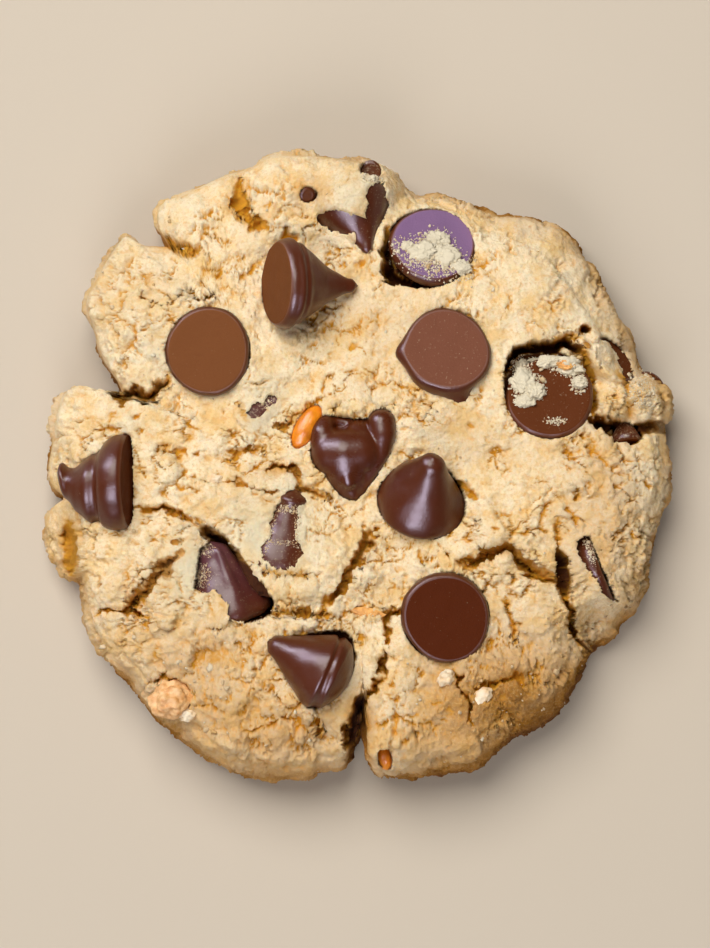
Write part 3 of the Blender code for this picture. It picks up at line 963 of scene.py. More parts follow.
@dataclass
class Dough:
    """The dough as one skin: a domed, cracked and crumbly top, a knobbly side and a browned underside."""

    grain: Grain
    plan: Plan
    mounds: list[Mound]
    cracks: list[Crack]
    patches: list[Patch]
    brow_height: float = 10.2
    dome_rise: float = 3.6
    foot_tuck: float = 0.9
    steps: int = 400
    side_rows: int = 36
    under_rows: int = 14
    face_limit: int = 196_000
    plate_step: float = 0.34
    plate_height: float = 0.18
    tear_depth: float = 0.6
    # The lumps that it broke into: (across, height, depth of the creases between, shift of the noise).
    lumps: tuple[tuple[float, float, float, float], ...] = ((4.4, 0.85, 0.65, 1.0), (2.0, 0.45, 0.4, 11.0))
    crumb_height: float = 0.14
    foot_toast: float = 1.12
    grit_height: float = 0.095

    # The side's profile from the brow to the foot: (way down, way out, height as a share of the brow's).
    profile: tuple[tuple[float, float, float], ...] = (
        (0.0, 0.0, 1.0),
        (0.12, 0.34, 0.93),
        (0.3, 0.72, 0.79),
        (0.5, 0.93, 0.58),
        (0.68, 1.0, 0.36),
        (0.86, 0.9, 0.13),
        (0.95, 0.72, 0.03),
        (1.0, 0.5, 0.0),
    )

    TOP = 0.25  # how far down the side still counts as the top
    WIDEST = 0.68  # how far down the side its widest line runs
    VEIN, TEAR, PIT, CRUMB, GRIT = 3.6, 6.0, 2.3, 1.0, 0.62  # how far apart these lie, in millimetres
    BROKEN = 5.0  # how far across a broken part is
    SWELL, ROLL = 6.5, 11.0  # how far across the smaller and the larger rise and fall
    SWELL_HEIGHT, ROLL_HEIGHT = 0.3, 0.5
    WANDER, FRAY = 0.9, 0.42  # how far every edge of the crust strays, broadly and finely
    RAGGED = 0.35  # how far the edge of a bare place strays
    PIT_DEPTH = 0.7
    BLUR = (3, 5)  # grid steps to each side that a hollow is compared with, one after the other
    LEVELS = np.arange(2.2, 21.0, 0.22)  # heights at which each socket is felt for
    REACH = 12.5  # further than any chip reaches from its middle
    ROOM = 0.15  # left under each chip
    LID, LID_SLOPE = 0.5, 1.9  # the dough over a covered chip, and how steeply it falls away round it
    SKIRTS = (0.5, 1.0, 1.5, 2.0)  # how far round a covered chip that fall is worked out
    CRACK_REACH = 6.0  # no crack's lip reaches further

    def build(self, chips: list, shift: Array) -> bpy.types.Object:
        """The dough's mesh, with its sockets cut and its colour fields painted.

        Args:
            chips: the chips whose sockets are cut.
            shift: what centres the cookie.

        Returns:
            The new object.
        """
        flat, faces, down = self._skin()
        made = mesh_object("dough_crust", flat, *faces)
        outward = points_of(made.data, "normal")
        LOG.info("dough skin: %d faces", len(made.data.polygons))
        top = down <= self.TOP
        x, y = flat[:, 0], flat[:, 1]
        weight = self._blend(x, y)
        push, split = self._relief(flat, down, weight)
        # The walls of a hollow are left smooth, since roughness on them would bristle.
        steep = np.where(top, ramp(outward[:, 2], 0.2, 0.75), 1.0)
        verts = flat + outward * (push * steep)[:, None]
        # Painted shade: hollows below their surroundings get the orange of cracked crust.
        hollow_shade = ramp(self._hollow(verts[:, 2]), 0.04, 0.42) * (down < 0.98)
        socket_shade = self._sockets(verts, top, chips)
        verts[:, 2] = np.maximum(verts[:, 2], 0.02)
        crack, deep = (part * top for part in self._crack_and_shade_share(x, y))
        side = np.clip(down, 0, 1)
        # Browning down the side, with painted shade in it that darkens the lower side.
        toast = weight["tan"] + side * 1.2
        toast += 0.5 * np.clip(self.grain.fractal(flat, 7.0, 3, shift=41.0), -0.3, 1) * (0.35 + side)
        foot = ramp(down, 0.8, 0.97)  # an even brown where it lay on the tray
        toast += foot * (self.foot_toast - toast)
        # The orange of cracked crust, with painted shade where it lies in hollows and cracks.
        split = np.clip(0.55 * split + 0.85 * hollow_shade + 0.85 * crack + weight["split"], 0, 1.0) * (1 - foot)
        # Painted dark shade deep in cracks and where the dough dropped under a chip.
        deep = np.maximum(deep, socket_shade)
        mesh = made.data
        mesh.vertices.foreach_set("co", ((verts + shift) * MM).astype(np.float32).ravel())
        mesh.update()
        dust = weight["dust"] * (1 - 0.6 * split) * (1 - foot)
        paint(made, split=split, toast=np.clip(toast, 0, 1.4), dust=dust, deep=deep)
        return self._thinned(made)

    def uncracked(self, x: Array, y: Array) -> Array:
        """The height of the domed surface with its mounds, before it cracked."""
        out = np.hypot(x, y) / self.plan.at(self.plan.brow, np.arctan2(y, x))
        z = self.brow_height + self.dome_rise * np.sqrt(1 - np.clip(out, 0, 1) ** 4)
        for mound in self.mounds:
            z = z + mound.height * mound.share(x, y)
        return z

    def _skin(self) -> tuple[Array, tuple[Array, ...], Array]:
        """The smooth skin before it is roughened.

        Returns:
            Its points, its faces, and how far down the side each point lies: 0 on top, 1 at the foot and 2
            beneath.
        """
        n = self.steps
        line = np.linspace(-1, 1, n + 1)
        a, b = (part.ravel() for part in np.meshgrid(line, line, indexing="xy"))
        out = np.maximum(np.abs(a), np.abs(b))
        safe = np.where(out == 0, 1, out)
        wide = np.abs(a) >= np.abs(b)
        level = b / np.where(wide, np.where(a == 0, 1, a), 1)
        turn = np.where(wide, level, -a / np.where(wide, 1, safe * np.sign(b)))
        quarter = np.where(wide, np.where(a < 0, 4, 0), np.where(b > 0, 2, 6))
        heading = (quarter + turn) * math.pi / 4
        brow = self.plan.at(self.plan.brow, heading)
        widest = self.plan.at(self.plan.widest, heading)
        core = np.minimum(self.plan.at(self.plan.core, heading), brow)
        reach = out * core + (brow - core) * out**5
        x, y = reach * np.cos(heading), reach * np.sin(heading)
        z = self.uncracked(x, y) - self._groove(x, y)
        top = np.column_stack([x, y, z])
        at = np.arange((n + 1) ** 2).reshape(n + 1, n + 1)
        edge = np.concatenate([at[0, :-1], at[:-1, -1], at[-1, :0:-1], at[:0:-1, 0]])
        quads = [np.stack([at[:-1, :-1], at[:-1, 1:], at[1:, 1:], at[1:, :-1]], axis=-1).reshape(-1, 4)]
        verts, downs = [top], [np.zeros(len(top))]
        way, out_share, high_share = (np.array(part) for part in zip(*self.profile))
        upper = edge
        count = len(edge)
        foot = widest[edge] - self.foot_tuck
        for row in range(1, self.side_rows + self.under_rows + 1):
            if row <= self.side_rows:
                t = row / self.side_rows
                share = np.interp(t, way, out_share)
                base = np.where(t > self.WIDEST, foot - (widest[edge] - foot), brow[edge])
                reach = base + (widest[edge] - base) * share
                height = z[edge] * np.interp(t, way, high_share)
                down = t
            else:
                t = (row - self.side_rows) / (self.under_rows + 1)
                reach = foot * (1 - t)
                height = np.zeros(count)
                down = 2.0
            x, y = reach * np.cos(heading[edge]), reach * np.sin(heading[edge])
            verts.append(np.column_stack([x, y, height]))
            downs.append(np.full(count, down))
            lower = len(at.ravel()) + (row - 1) * count + np.arange(count)
            quads.append(np.stack([upper, lower, np.roll(lower, -1), np.roll(upper, -1)], axis=-1))
            upper = lower
        verts.append(np.zeros((1, 3)))
        downs.append(np.array([2.0]))
        hub = sum(map(len, verts)) - 1
        fan = np.column_stack([upper, np.full(count, hub), np.roll(upper, -1)])
        return np.vstack(verts), (np.vstack(quads), fan), np.concatenate(downs)

    def _groove(self, x: Array, y: Array) -> Array:
        """How far the cracks and their lips lower the surface at each point."""
        lowered = np.zeros_like(x)
        lifted = np.zeros_like(x)
        for crack, near, away, side, opened in self._splits(x, y):
            groove = np.clip(1 - away / (crack.half_width * opened + 1e-3), 0, 1) ** crack.slope
            lowered[near] = np.maximum(lowered[near], crack.depth * opened * groove)
            lifted[near] += crack.lift * opened * np.where(side > 0, np.exp(-away / crack.fade), 0)
        return lowered - lifted

    def _crack_and_shade_share(self, x: Array, y: Array) -> tuple[Array, Array]:
        """How far into a crack each point lies, for its orange and painted shade, and how deep that crack is,
        for the painted dark shade deep inside it; both from 0 to 1.
        """
        share, deep = np.zeros_like(x), np.zeros_like(x)
        for crack, near, away, _, opened in self._splits(x, y):
            across = away / (crack.half_width * opened + 0.05)
            inside = ramp(1.25 - across, 0, 0.8)
            share[near] = np.maximum(share[near], inside * min(1, 0.4 + crack.depth / 3))
            inner = ramp(1.0 - across, 0.05, 0.5)
            deep[near] = np.maximum(deep[near], inner * np.clip((crack.depth * opened - 1.6) / 3.2, 0, 1))
        return share, deep

    def _splits(self, x: Array, y: Array) -> Iterator[tuple[Crack, Array, Array, Array, Array]]:
        """Each crack, with how the points near it lie to it.

        Args:
            x: the points' x.
            y: the points' y.

        Yields:
            The crack, which points are near it, how far off they are, which side they are on, and how open
            the crack is there.
        """
        place = np.column_stack([x, y, np.zeros_like(x)])
        drift = np.column_stack([self.grain.fractal(place, 1.5, 3, 0.6, shift) for shift in (5.0, 9.0)])
        for crack in self.cracks:
            line = smooth_line(crack.points, 4)
            low, high = line.min(axis=0) - self.CRACK_REACH, line.max(axis=0) + self.CRACK_REACH
            near = np.nonzero((x > low[0]) & (x < high[0]) & (y > low[1]) & (y < high[1]))[0]
            px = x[near] + drift[near, 0] * crack.wander * 2
            py = y[near] + drift[near, 1] * crack.wander * 2
            best = np.full(len(near), np.inf)
            side = np.zeros(len(near))
            share = np.zeros(len(near))
            last = len(line) - 1
            for i, (a, b) in enumerate(zip(line, line[1:])):
                run = b - a
                along = np.clip(((px - a[0]) * run[0] + (py - a[1]) * run[1]) / (run @ run), 0, 1)
                dx, dy = px - a[0] - along * run[0], py - a[1] - along * run[1]
                away = np.hypot(dx, dy)
                closer = away < best
                best = np.where(closer, away, best)
                side = np.where(closer, run[0] * dy - run[1] * dx, side)
                share = np.where(closer, (i + along) / last, share)
            opened = np.clip(np.minimum(share, 1 - share) * 5, 0, 1) ** 0.6
            yield crack, near, best, side, opened

    def _blend(self, x: Array, y: Array) -> dict[str, Array]:
        """Each patch's strengths, eased into one another, at every point."""
        fields = {"flake": 1.0, "knob": 1.0, "crumb": 1.0, "tan": 0.0, "dust": 0.0, "split": 0.0}
        blended = {name: np.full(len(x), base) for name, base in fields.items()}
        for patch in self.patches:
            share = np.exp(-patch.level(x, y))
            for name in ("flake", "knob", "crumb"):
                blended[name] += share * (getattr(patch, name) - blended[name])
            for name in ("tan", "dust", "split"):
                blended[name] = np.maximum(blended[name], share * getattr(patch, name))
        return blended

    def _relief(self, place: Array, down: Array, weight: dict[str, Array]) -> tuple[Array, Array]:
        """The roughness of the crust: plates with frayed edges, tears, pits, stuck crumbs, knobs and grit.

        Args:
            place: the smooth skin's points.
            down: how far down the side each lies.
            weight: the patches' strengths.

        Returns:
            How far each point is pushed outward, and how much orange shows there: cracked crust, with
            painted shade in its tears, pits and creases.
        """
        grain = self.grain
        # Most noise is read at bent places, so that its edges wander and fray.
        swirl = np.column_stack([grain.smooth(place, 2.6, s) for s in (3.1, 7.7, 11.3)])
        fray = np.column_stack([grain.fractal(place, 1.0, 3, 0.65, s) for s in (13.1, 17.7, 21.3)])
        bent = place + swirl * self.WANDER + fray * self.FRAY
        side = np.clip(down * 4, 0, 1)
        flake = weight["flake"] * (1 - 0.4 * side)
        knobby = weight["knob"] * (1 - side) + 1.1 * side

        # Plates lie in steps over a gentle swell, which is wider than it is long.
        swell = grain.fractal(bent * np.array((0.75, 1.2, 1.0)), self.SWELL, 4, shift=2.2)
        level = swell / self.plate_step + 0.35
        whole = np.floor(level)
        plates = np.clip(whole + ramp(level - whole, 0.3, 0.55), -2, 2)
        push = self.plate_height * plates * flake
        push += self.SWELL_HEIGHT * swell

        # Lumps of each size, with creases between them where the dough is broken.
        broken = grain.fractal(place, self.BROKEN, 2, shift=57.0)
        broken = ramp(broken + 0.2 * (flake + knobby - 2), -0.25, 0.35)
        seam = np.zeros_like(push)
        for cell, height, cut, shift in self.lumps:
            near, next_near, tone = grain.clumps(bent, cell, shift)
            edge = next_near - near
            crease = ramp(edge, 0.5 * cut / cell, 0.0) * broken
            push += height * (tone - 0.5) * ramp(edge, 0.0, 0.3) * knobby
            push -= cut * crease
            seam = np.maximum(seam, crease * min(1, 2 * cut))

        # Tears follow veins, but not everywhere.
        vein = np.abs(grain.fractal(bent, self.VEIN, 2, shift=51.0))
        where = ramp(grain.fractal(place, self.TEAR, 2, shift=67.0) + 0.12 * (flake - 1), 0.0, 0.35)
        tear = ramp(vein, 0.06, 0.015) * where
        push -= self.tear_depth * tear * np.clip(flake, 0.3, 1.3)

        # One seat in five holds a pit.
        near, _, tone = grain.clumps(bent, self.PIT, shift=61.0)
        pit = ramp(near, 0.2, 0.1) * (tone > 0.8) * np.clip(flake, 0.25, 1.2)
        push -= self.PIT_DEPTH * pit

        # Crumbs stuck to the crust, grit all over, and the broadest roll of all.
        near, _, tone = grain.clumps(bent, self.CRUMB, shift=5.0)
        push += self.crumb_height * ramp(near, 0.5, 0.2) * np.clip((tone - 0.5) * 3, 0, 1) * weight["crumb"]
        push += self.grit_height * grain.fractal(bent, self.GRIT, 2, 0.9, 8.0) * (0.3 + 0.7 * weight["crumb"])
        push += self.ROLL_HEIGHT * grain.fractal(place, self.ROLL, 2, shift=31.0)
        push *= 1 - ramp(down, 0.86, 1.0)
        # Tears, pits and creases get the orange of cracked crust, which is painted shade there too.
        split = 0.7 * tear + 0.8 * pit + 0.7 * seam
        return push, np.clip(split, 0, 1)

    def _hollow(self, height: Array) -> Array:
        """How far each point of the top grid lies below the mean of its surroundings, in millimetres."""
        n = self.steps + 1
        grid = height[: n * n].reshape(n, n)
        mean = grid
        for reach in self.BLUR:
            wide = np.pad(mean, reach, mode="reflect", reflect_type="odd")
            total = np.cumsum(np.pad(wide, ((1, 0), (0, 0))), axis=0)
            rows = total[2 * reach + 1 :] - total[: -2 * reach - 1]
            total = np.cumsum(np.pad(rows, ((0, 0), (1, 0))), axis=1)
            mean = (total[:, 2 * reach + 1 :] - total[:, : -2 * reach - 1]) / (2 * reach + 1) ** 2
        below = np.zeros(len(height))
        below[: n * n] = (mean - grid).ravel()
        return below

    def _sockets(self, verts: Array, top: Array, chips: list) -> Array:
        """Drops the surface under each chip, unless the dough there is thick enough to cover it.

        Args:
            verts: the skin's points, which are changed.
            top: which of them are the top surface.
            chips: the chips.

        Returns:
            1 where a point was dropped, which is painted with the dark shade under a chip.
        """
        socket_shade = np.zeros(len(verts))
        for chip in chips:
            away = np.hypot(verts[:, 0] - chip.x, verts[:, 1] - chip.y)
            near = np.nonzero(top & (away < self.REACH))[0]
            inside, low, high = self._span(verts[near], chip)
            height = verts[near, 2]
            drop = inside & (height > low) & (height < high + chip.cover)
            if chip.bare:
                flat = verts[near] * np.array((1, 1, 0))
                ragged = (self.grain.fractal(flat, 1.1, 3, 0.6, seed) for seed in (71.0, 75.0))
                x, y = (flat[:, i] + self.RAGGED * part for i, part in enumerate(ragged))
                shown = np.min([oval.level(x, y) for oval in chip.bare], axis=0) < 1
                lid = np.where(inside, high + self.LID, 0)
                for skirt in self.SKIRTS:
                    wider, _, above = self._span(verts[near], replace(chip, gap=chip.gap + skirt))
                    lid = np.maximum(lid, np.where(wider, above + self.LID - self.LID_SLOPE * skirt, 0))
                lid += 0.2 * self.grain.fractal(flat, 1.2, 3, 0.6, 83.0)
                verts[near[~shown], 2] = np.maximum(height, lid)[~shown]
                drop &= shown
            verts[near[drop], 2] = low[drop] - self.ROOM
            socket_shade[near[drop]] = 1
        return socket_shade

    def _span(self, place: Array, chip: Chip) -> tuple[Array, Array, Array]:
        """Where the vertical line through each point passes through a chip.

        Args:
            place: the points.
            chip: the chip, with its clearance.

        Returns:
            Whether the line meets the chip, and the lowest and highest heights inside it.
        """
        column = place.copy()
        held = np.zeros((len(place), len(self.LEVELS)), bool)
        for i, level in enumerate(self.LEVELS):
            column[:, 2] = level
            held[:, i] = chip.holds(column)
        low = self.LEVELS[np.argmax(held, axis=1)]
        high = self.LEVELS[len(self.LEVELS) - 1 - np.argmax(held[:, ::-1], axis=1)]
        for half in (0.11, 0.055, 0.03):  # half a level up, then half of that, to find the top more closely
            column[:, 2] = high + half
            high = high + half * chip.holds(column)
        return held.any(axis=1), low, high

    def _thinned(self, made: bpy.types.Object) -> bpy.types.Object:
        """The same object with its flattest faces merged, down to the face limit."""
        made.data.calc_loop_triangles()
        modifier = made.modifiers.new("thin", "DECIMATE")
        modifier.ratio = min(1.0, self.face_limit / len(made.data.loop_triangles))
        mesh = baked_mesh(made)
        made.modifiers.clear()
        made.data = mesh
        mesh.shade_smooth()
        return made


# --------------------------------------
# Nuts, candy and crumbs
# --------------------------------------


def ball(detail: int) -> tuple[Array, Array]:
    """A ball of triangles.

    Args:
        detail: 2 for 42 points, 3 for 162, 4 for 642.

    Returns:
        Its points and faces.
    """
    bm = bmesh.new()
    bmesh.ops.create_icosphere(bm, subdivisions=detail, radius=1)
    verts = np.array([tuple(v.co) for v in bm.verts])
    faces = np.array([[v.index for v in f.verts] for f in bm.faces])
    bm.free()
    return verts, faces


@dataclass(frozen=True)
class Nugget:
    """A broken piece of nut or candy: its middle, half-axes, turn, and how lumpy it is."""

    node: str
    x: float
    y: float
    z: float
    half_axes: tuple[float, float, float]
    turn: float
    lump: float = 0.12
    gap: float = -0.05
    bare: tuple[Oval, ...] = ()
    cover: float = 3.0

    def holds(self, place: Array) -> Array:
        """Whether each point lies in the piece or in the clearance round it."""
        local = self._turned(place - np.array((self.x, self.y, self.z)), -1)
        return np.linalg.norm(local / (np.array(self.half_axes) + self.gap), axis=1) < 1

    def build(self, shift: Array, grain: Grain) -> bpy.types.Object:
        """The piece's mesh, in place."""
        verts, faces = ball(5)
        lumps = grain.fractal(verts * 1.6, 1.0, 4, 0.5, self.x * 0.3)
        verts = verts * (1 + self.lump * lumps)[:, None] * np.array(self.half_axes)
        verts = self._turned(verts, 1) + np.array((self.x, self.y, self.z)) + shift
        return mesh_object("dressed_" + self.node, verts, faces)

    def _turned(self, place: Array, sense: int) -> Array:
        """Points turned about the vertical by the piece's turn, or back again."""
        turn = math.radians(self.turn) * sense
        c, s = math.cos(turn), math.sin(turn)
        return place @ np.array(((c, s, 0), (-s, c, 0), (0, 0, 1)))


@dataclass(frozen=True)
class Sprinkle:
    """A patch of loose crumbs: where, how wide, how many, how large, how tan, and how high they are
    heaped."""

    x: float
    y: float
    across: float
    along: float
    turn: float
    count: int
    size: float
    tan: float = 0.2
    pile: float = 0.0


@dataclass
class Crumbs:
    """Small crumbs lying on the cookie, as one mesh of many little lumps. With spared set, the chips stay
    clean."""

    name: str
    sprinkles: list[Sprinkle]
    seed: int
    squash: float = 0.75
    sink: float = 0.3
    spared: bool = False

    EDGE = 1.15  # crumbs further out than this share of a sprinkle's half-width are left out
    COARSE = 0.22  # crumbs over this size get a finer ball
    SIZES = (-0.1, 0.42)  # the middle and spread of the logarithm of their sizes
    STRETCH = (0.6, 1.3)  # the least and most of each half-axis
    WOBBLE = 0.2  # how uneven they are
    TONES = 0.22  # how much they differ in tone

    def build(self, trees: list, shift: Array) -> bpy.types.Object:
        """Drops each crumb on the highest surface below it.

        Args:
            trees: what the crumbs land on, as search trees.
            shift: what centres the cookie.

        Returns:
            The new object.
        """
        draw = np.random.default_rng(self.seed)
        plain, full = ball(1), ball(2)
        verts, all_faces, tones, placed = [], [], [], 0
        for sprinkle in self.sprinkles:
            turn = math.radians(sprinkle.turn)
            spread = draw.normal(size=(sprinkle.count, 2)) * 0.5
            spread = spread[np.hypot(*spread.T) < self.EDGE]
            u, v = spread[:, 0] * sprinkle.across, spread[:, 1] * sprinkle.along
            xs = sprinkle.x + u * math.cos(turn) - v * math.sin(turn) + shift[0]
            ys = sprinkle.y + u * math.sin(turn) + v * math.cos(turn) + shift[1]
            for x, y, off in zip(xs, ys, np.hypot(*spread.T)):
                size = sprinkle.size * draw.lognormal(*self.SIZES)
                base, faces = full if size > self.COARSE else plain
                hit = self.lands(trees, x, y)
                wobble = 1 + draw.normal(0, self.WOBBLE, size=(len(base), 1))
                axes = size * draw.uniform(*self.STRETCH, 3) * np.array((1, 1, self.squash))
                spin = Matrix.Rotation(draw.uniform(0, 6.28), 3, draw.normal(size=3))
                tone = np.clip(sprinkle.tan + draw.normal(0, self.TONES), 0, 1)
                if hit is None or (self.spared and hit > self.lands(trees[:1], x, y)):
                    continue
                heaped = sprinkle.pile * draw.random() * (1 - (off / self.EDGE) ** 2)
                place = np.array((x, y, hit + size * (0.5 - self.sink) + heaped))
                all_faces.append(faces + placed)
                placed += len(base)
                verts.append((base * wobble * axes) @ np.array(spin) + place)
                tones.append(np.full(len(base), tone))
        made = mesh_object(self.name, np.vstack(verts), np.vstack(all_faces))
        paint(made, tone=np.concatenate(tones))
        return made

    @staticmethod
    def lands(trees: list, x: float, y: float) -> float | None:
        """The height of the highest surface at a place, in millimetres."""
        hits = (tree.ray_cast(Vector((x * MM, y * MM, 0.05)), Vector((0, 0, -1)))[0] for tree in trees)
        return max((hit.z / MM for hit in hits if hit), default=None)


@dataclass(frozen=True)
class Bit:
    """A broken bit half sunk in the crust: its middle, half-axes and turn."""

    x: float
    y: float
    across: float
    along: float
    high: float
    turn: float = 0.0


@dataclass(frozen=True)
class Bits:
    """Several broken bits of one kind, as one mesh."""

    name: str
    bits: list[Bit]
    rough: float = 0.55
    lump: float = 0.35

    def build(self, trees: list, shift: Array, grain: Grain) -> bpy.types.Object:
        """Sets each bit into the surface below it.

        Args:
            trees: what the bits lie in, as search trees.
            shift: what centres the cookie.
            grain: the noise that makes them lumpy.

        Returns:
            The new object.
        """
        verts, all_faces = [], []
        base, faces = ball(5)
        for bit in self.bits:
            x, y = bit.x + shift[0], bit.y + shift[1]
            lumps = self.lump * grain.fractal(base * 1.3, 1.0, 4, self.rough, bit.x)
            shape = base * (1 + lumps)[:, None] * np.array((bit.across, bit.along, bit.high))
            turned = shape @ np.array(Matrix.Rotation(math.radians(-bit.turn), 3, "Z"))
            all_faces.append(faces + len(base) * len(verts))
            verts.append(turned + np.array((x, y, Crumbs.lands(trees, x, y))))
        return mesh_object(self.name, np.vstack(verts), np.vstack(all_faces))


# --------------------------------------
# The studio
# --------------------------------------


@dataclass(frozen=True)
class Lamp:
    """A round soft light that faces the cookie: its name, colour, power in watts, width and place in metres,
    and the kind of ray that doesn't see it, "glossy" for the gleams or "diffuse" for all but them."""

    name: str
    colour: str
    power: float
    size: float
    place: tuple[float, float, float]
    without: str = ""

    def hang(self) -> None:
        """Adds the light to the scene."""
        lamp = bpy.data.lights.new(self.name, "AREA")
        lamp.shape = "DISK"
        lamp.size = self.size
        lamp.energy = self.power
        lamp.color = linear(self.colour)[:3]
        hung = bpy.data.objects.new(self.name, lamp)
        hung.location = self.place
        hung.rotation_euler = (-Vector(self.place)).to_track_quat("-Z", "Y").to_euler()
        if self.without:
            setattr(hung, "visible_" + self.without, False)
        bpy.context.scene.collection.objects.link(hung)


@dataclass(frozen=True)
class Studio:
    """A pale floor, a large soft light behind and to the left, a weaker card in front, two soft lights that
    show only as the gleam on the chips, and a camera that looks almost straight down."""

    floor_size: float = 1.6
    floor_colour: str = "#CABFAE"
    floor_roughness: float = 0.9
    sky_colour: str = "#F4F2F0"
    sky_strength: float = 0.11
    lamps: tuple[Lamp, ...] = (
        Lamp("key", "#FFFBF6", 6.95, 0.62, (-0.2, 0.36, 0.7)),
        Lamp("card", "#FFF9F4", 2.2, 0.5, (-0.12, -0.58, 0.56), "glossy"),
        Lamp("front_gleam", "#E8E4FF", 9.5, 0.5, (-0.16, -0.52, 0.61), "diffuse"),
        Lamp("side_gleam", "#E8E4FF", 7.0, 0.4, (-0.56, 0.48, 0.42), "diffuse"),
    )
    look_at: tuple[float, float, float] = (-0.35, -1.29, 13.0)
    away: float = 450.0
    elevation: float = 87.0
    lens: float = 146.1

    def build(self) -> None:
        """Makes the floor, the world, the lights and the camera."""
        self._floor()
        self._sky()
        for lamp in self.lamps:
            lamp.hang()
        self._camera()
        bpy.context.scene.view_settings.view_transform = "Standard"

    def _floor(self) -> None:
        """Lays the pale floor."""
        half = self.floor_size / 2 / MM
        corners = np.array(((-half, -half, 0), (half, -half, 0), (half, half, 0), (-half, half, 0)), float)
        floor = mesh_object("floor", corners, np.array([[0, 1, 2, 3]]))
        paper, tree, shader = blank("floor_paper")
        feed(tree, shader, {"Base Color": linear(self.floor_colour), "Roughness": self.floor_roughness})
        floor.data.materials.append(paper)

    def _sky(self) -> None:
        """Makes the even light from all round."""
        world = bpy.data.worlds.new("sky")
        world.use_nodes = True
        tree = world.node_tree
        light = {"Color": linear(self.sky_colour), "Strength": self.sky_strength}
        feed(tree, tree.nodes["Background"], light)
        bpy.context.scene.world = world

    def _camera(self) -> None:
        """Sets the camera above the cookie, leaning back a little."""
        eye = bpy.data.cameras.new("camera")
        eye.lens = self.lens
        eye.clip_start = 0.01
        tilt = math.radians(self.elevation)
        camera = bpy.data.objects.new("camera", eye)
        target = Vector(self.look_at)
        camera.location = (target + self.away * Vector((0, -math.cos(tilt), math.sin(tilt)))) * MM
        camera.rotation_euler = (math.pi / 2 - tilt, 0, 0)
        bpy.context.scene.collection.objects.link(camera)
        bpy.context.scene.camera = camera


# --------------------------------------
# This cookie
# --------------------------------------

OUTLINE: list[Point] = [
    (37.0, 1.0), (36.7, 4.0), (37.2, 6.2), (36.6, 8.8), (35.2, 10.8), (33.9, 11.8), (32.9, 14.8),
    (31.6, 17.4), (30.1, 20.5), (28.1, 23.9), (26.1, 26.7), (24.1, 28.6), (20.5, 29.7), (17.0, 29.9),
    (15.6, 30.6), (13.0, 31.7), (10.9, 32.5), (8.9, 32.9), (6.9, 32.5), (6.0, 33.4), (4.1, 35.2),
    (1.5, 36.3), (-2.0, 36.8), (-6.0, 37.1), (-10.3, 36.9), (-12.6, 35.6), (-15.6, 34.8), (-18.5, 33.5),
    (-21.0, 32.2), (-23.6, 31.1), (-23.9, 29.3), (-23.4, 27.6), (-22.4, 26.3), (-24.2, 26.2), (-26.0, 26.4),
    (-27.6, 27.4), (-28.6, 26.6), (-30.0, 24.5), (-31.2, 22.4), (-32.4, 19.6), (-31.7, 17.0), (-30.9, 14.0),
    (-30.0, 12.0), (-28.6, 9.9), (-27.8, 7.7), (-29.4, 8.9), (-31.2, 8.8), (-33.5, 9.4), (-35.3, 8.2),
    (-36.0, 6.0), (-36.5, 3.0), (-37.0, -0.5), (-36.4, -2.5), (-35.0, -3.7), (-36.7, -5.0), (-37.4, -7.0),
    (-36.9, -9.6), (-35.7, -11.6), (-34.4, -13.0), (-33.1, -13.1), (-32.6, -15.0), (-32.2, -17.6),
    (-31.0, -20.7), (-29.5, -23.0), (-27.1, -25.4), (-25.2, -28.0), (-23.0, -30.5), (-20.0, -33.1),
    (-17.5, -34.8), (-14.0, -36.2), (-10.0, -36.8), (-6.0, -37.0), (-4.9, -36.1), (-2.3, -35.6),
    (-1.2, -34.6), (-0.4, -33.0), (0.2, -31.2), (0.6, -29.0), (1.0, -31.0), (1.2, -33.6), (2.3, -36.0),
    (4.5, -36.5), (8.0, -36.6), (11.5, -36.1), (15.0, -35.1), (17.6, -33.3), (20.1, -31.4), (23.1, -29.3),
    (25.6, -26.3), (27.0, -23.6), (28.2, -21.4), (29.9, -20.4), (31.5, -18.3), (33.3, -16.0), (34.3, -14.0),
    (34.8, -11.0), (35.9, -7.0), (37.1, -3.0),
]

# How far the brow lies inside the widest line, by direction in degrees.
INSETS: list[Point] = [
    (0, 2.2), (22, 2.8), (38, 4.2), (50, 4.4), (62, 2.6), (75, 1.4), (100, 0.7), (180, 0.7), (198, 0.9),
    (215, 1.8), (235, 2.6), (262, 1.8), (272, 1.2), (285, 2.0), (305, 2.6), (320, 2.6), (335, 2.2),
    (350, 2.0),
]

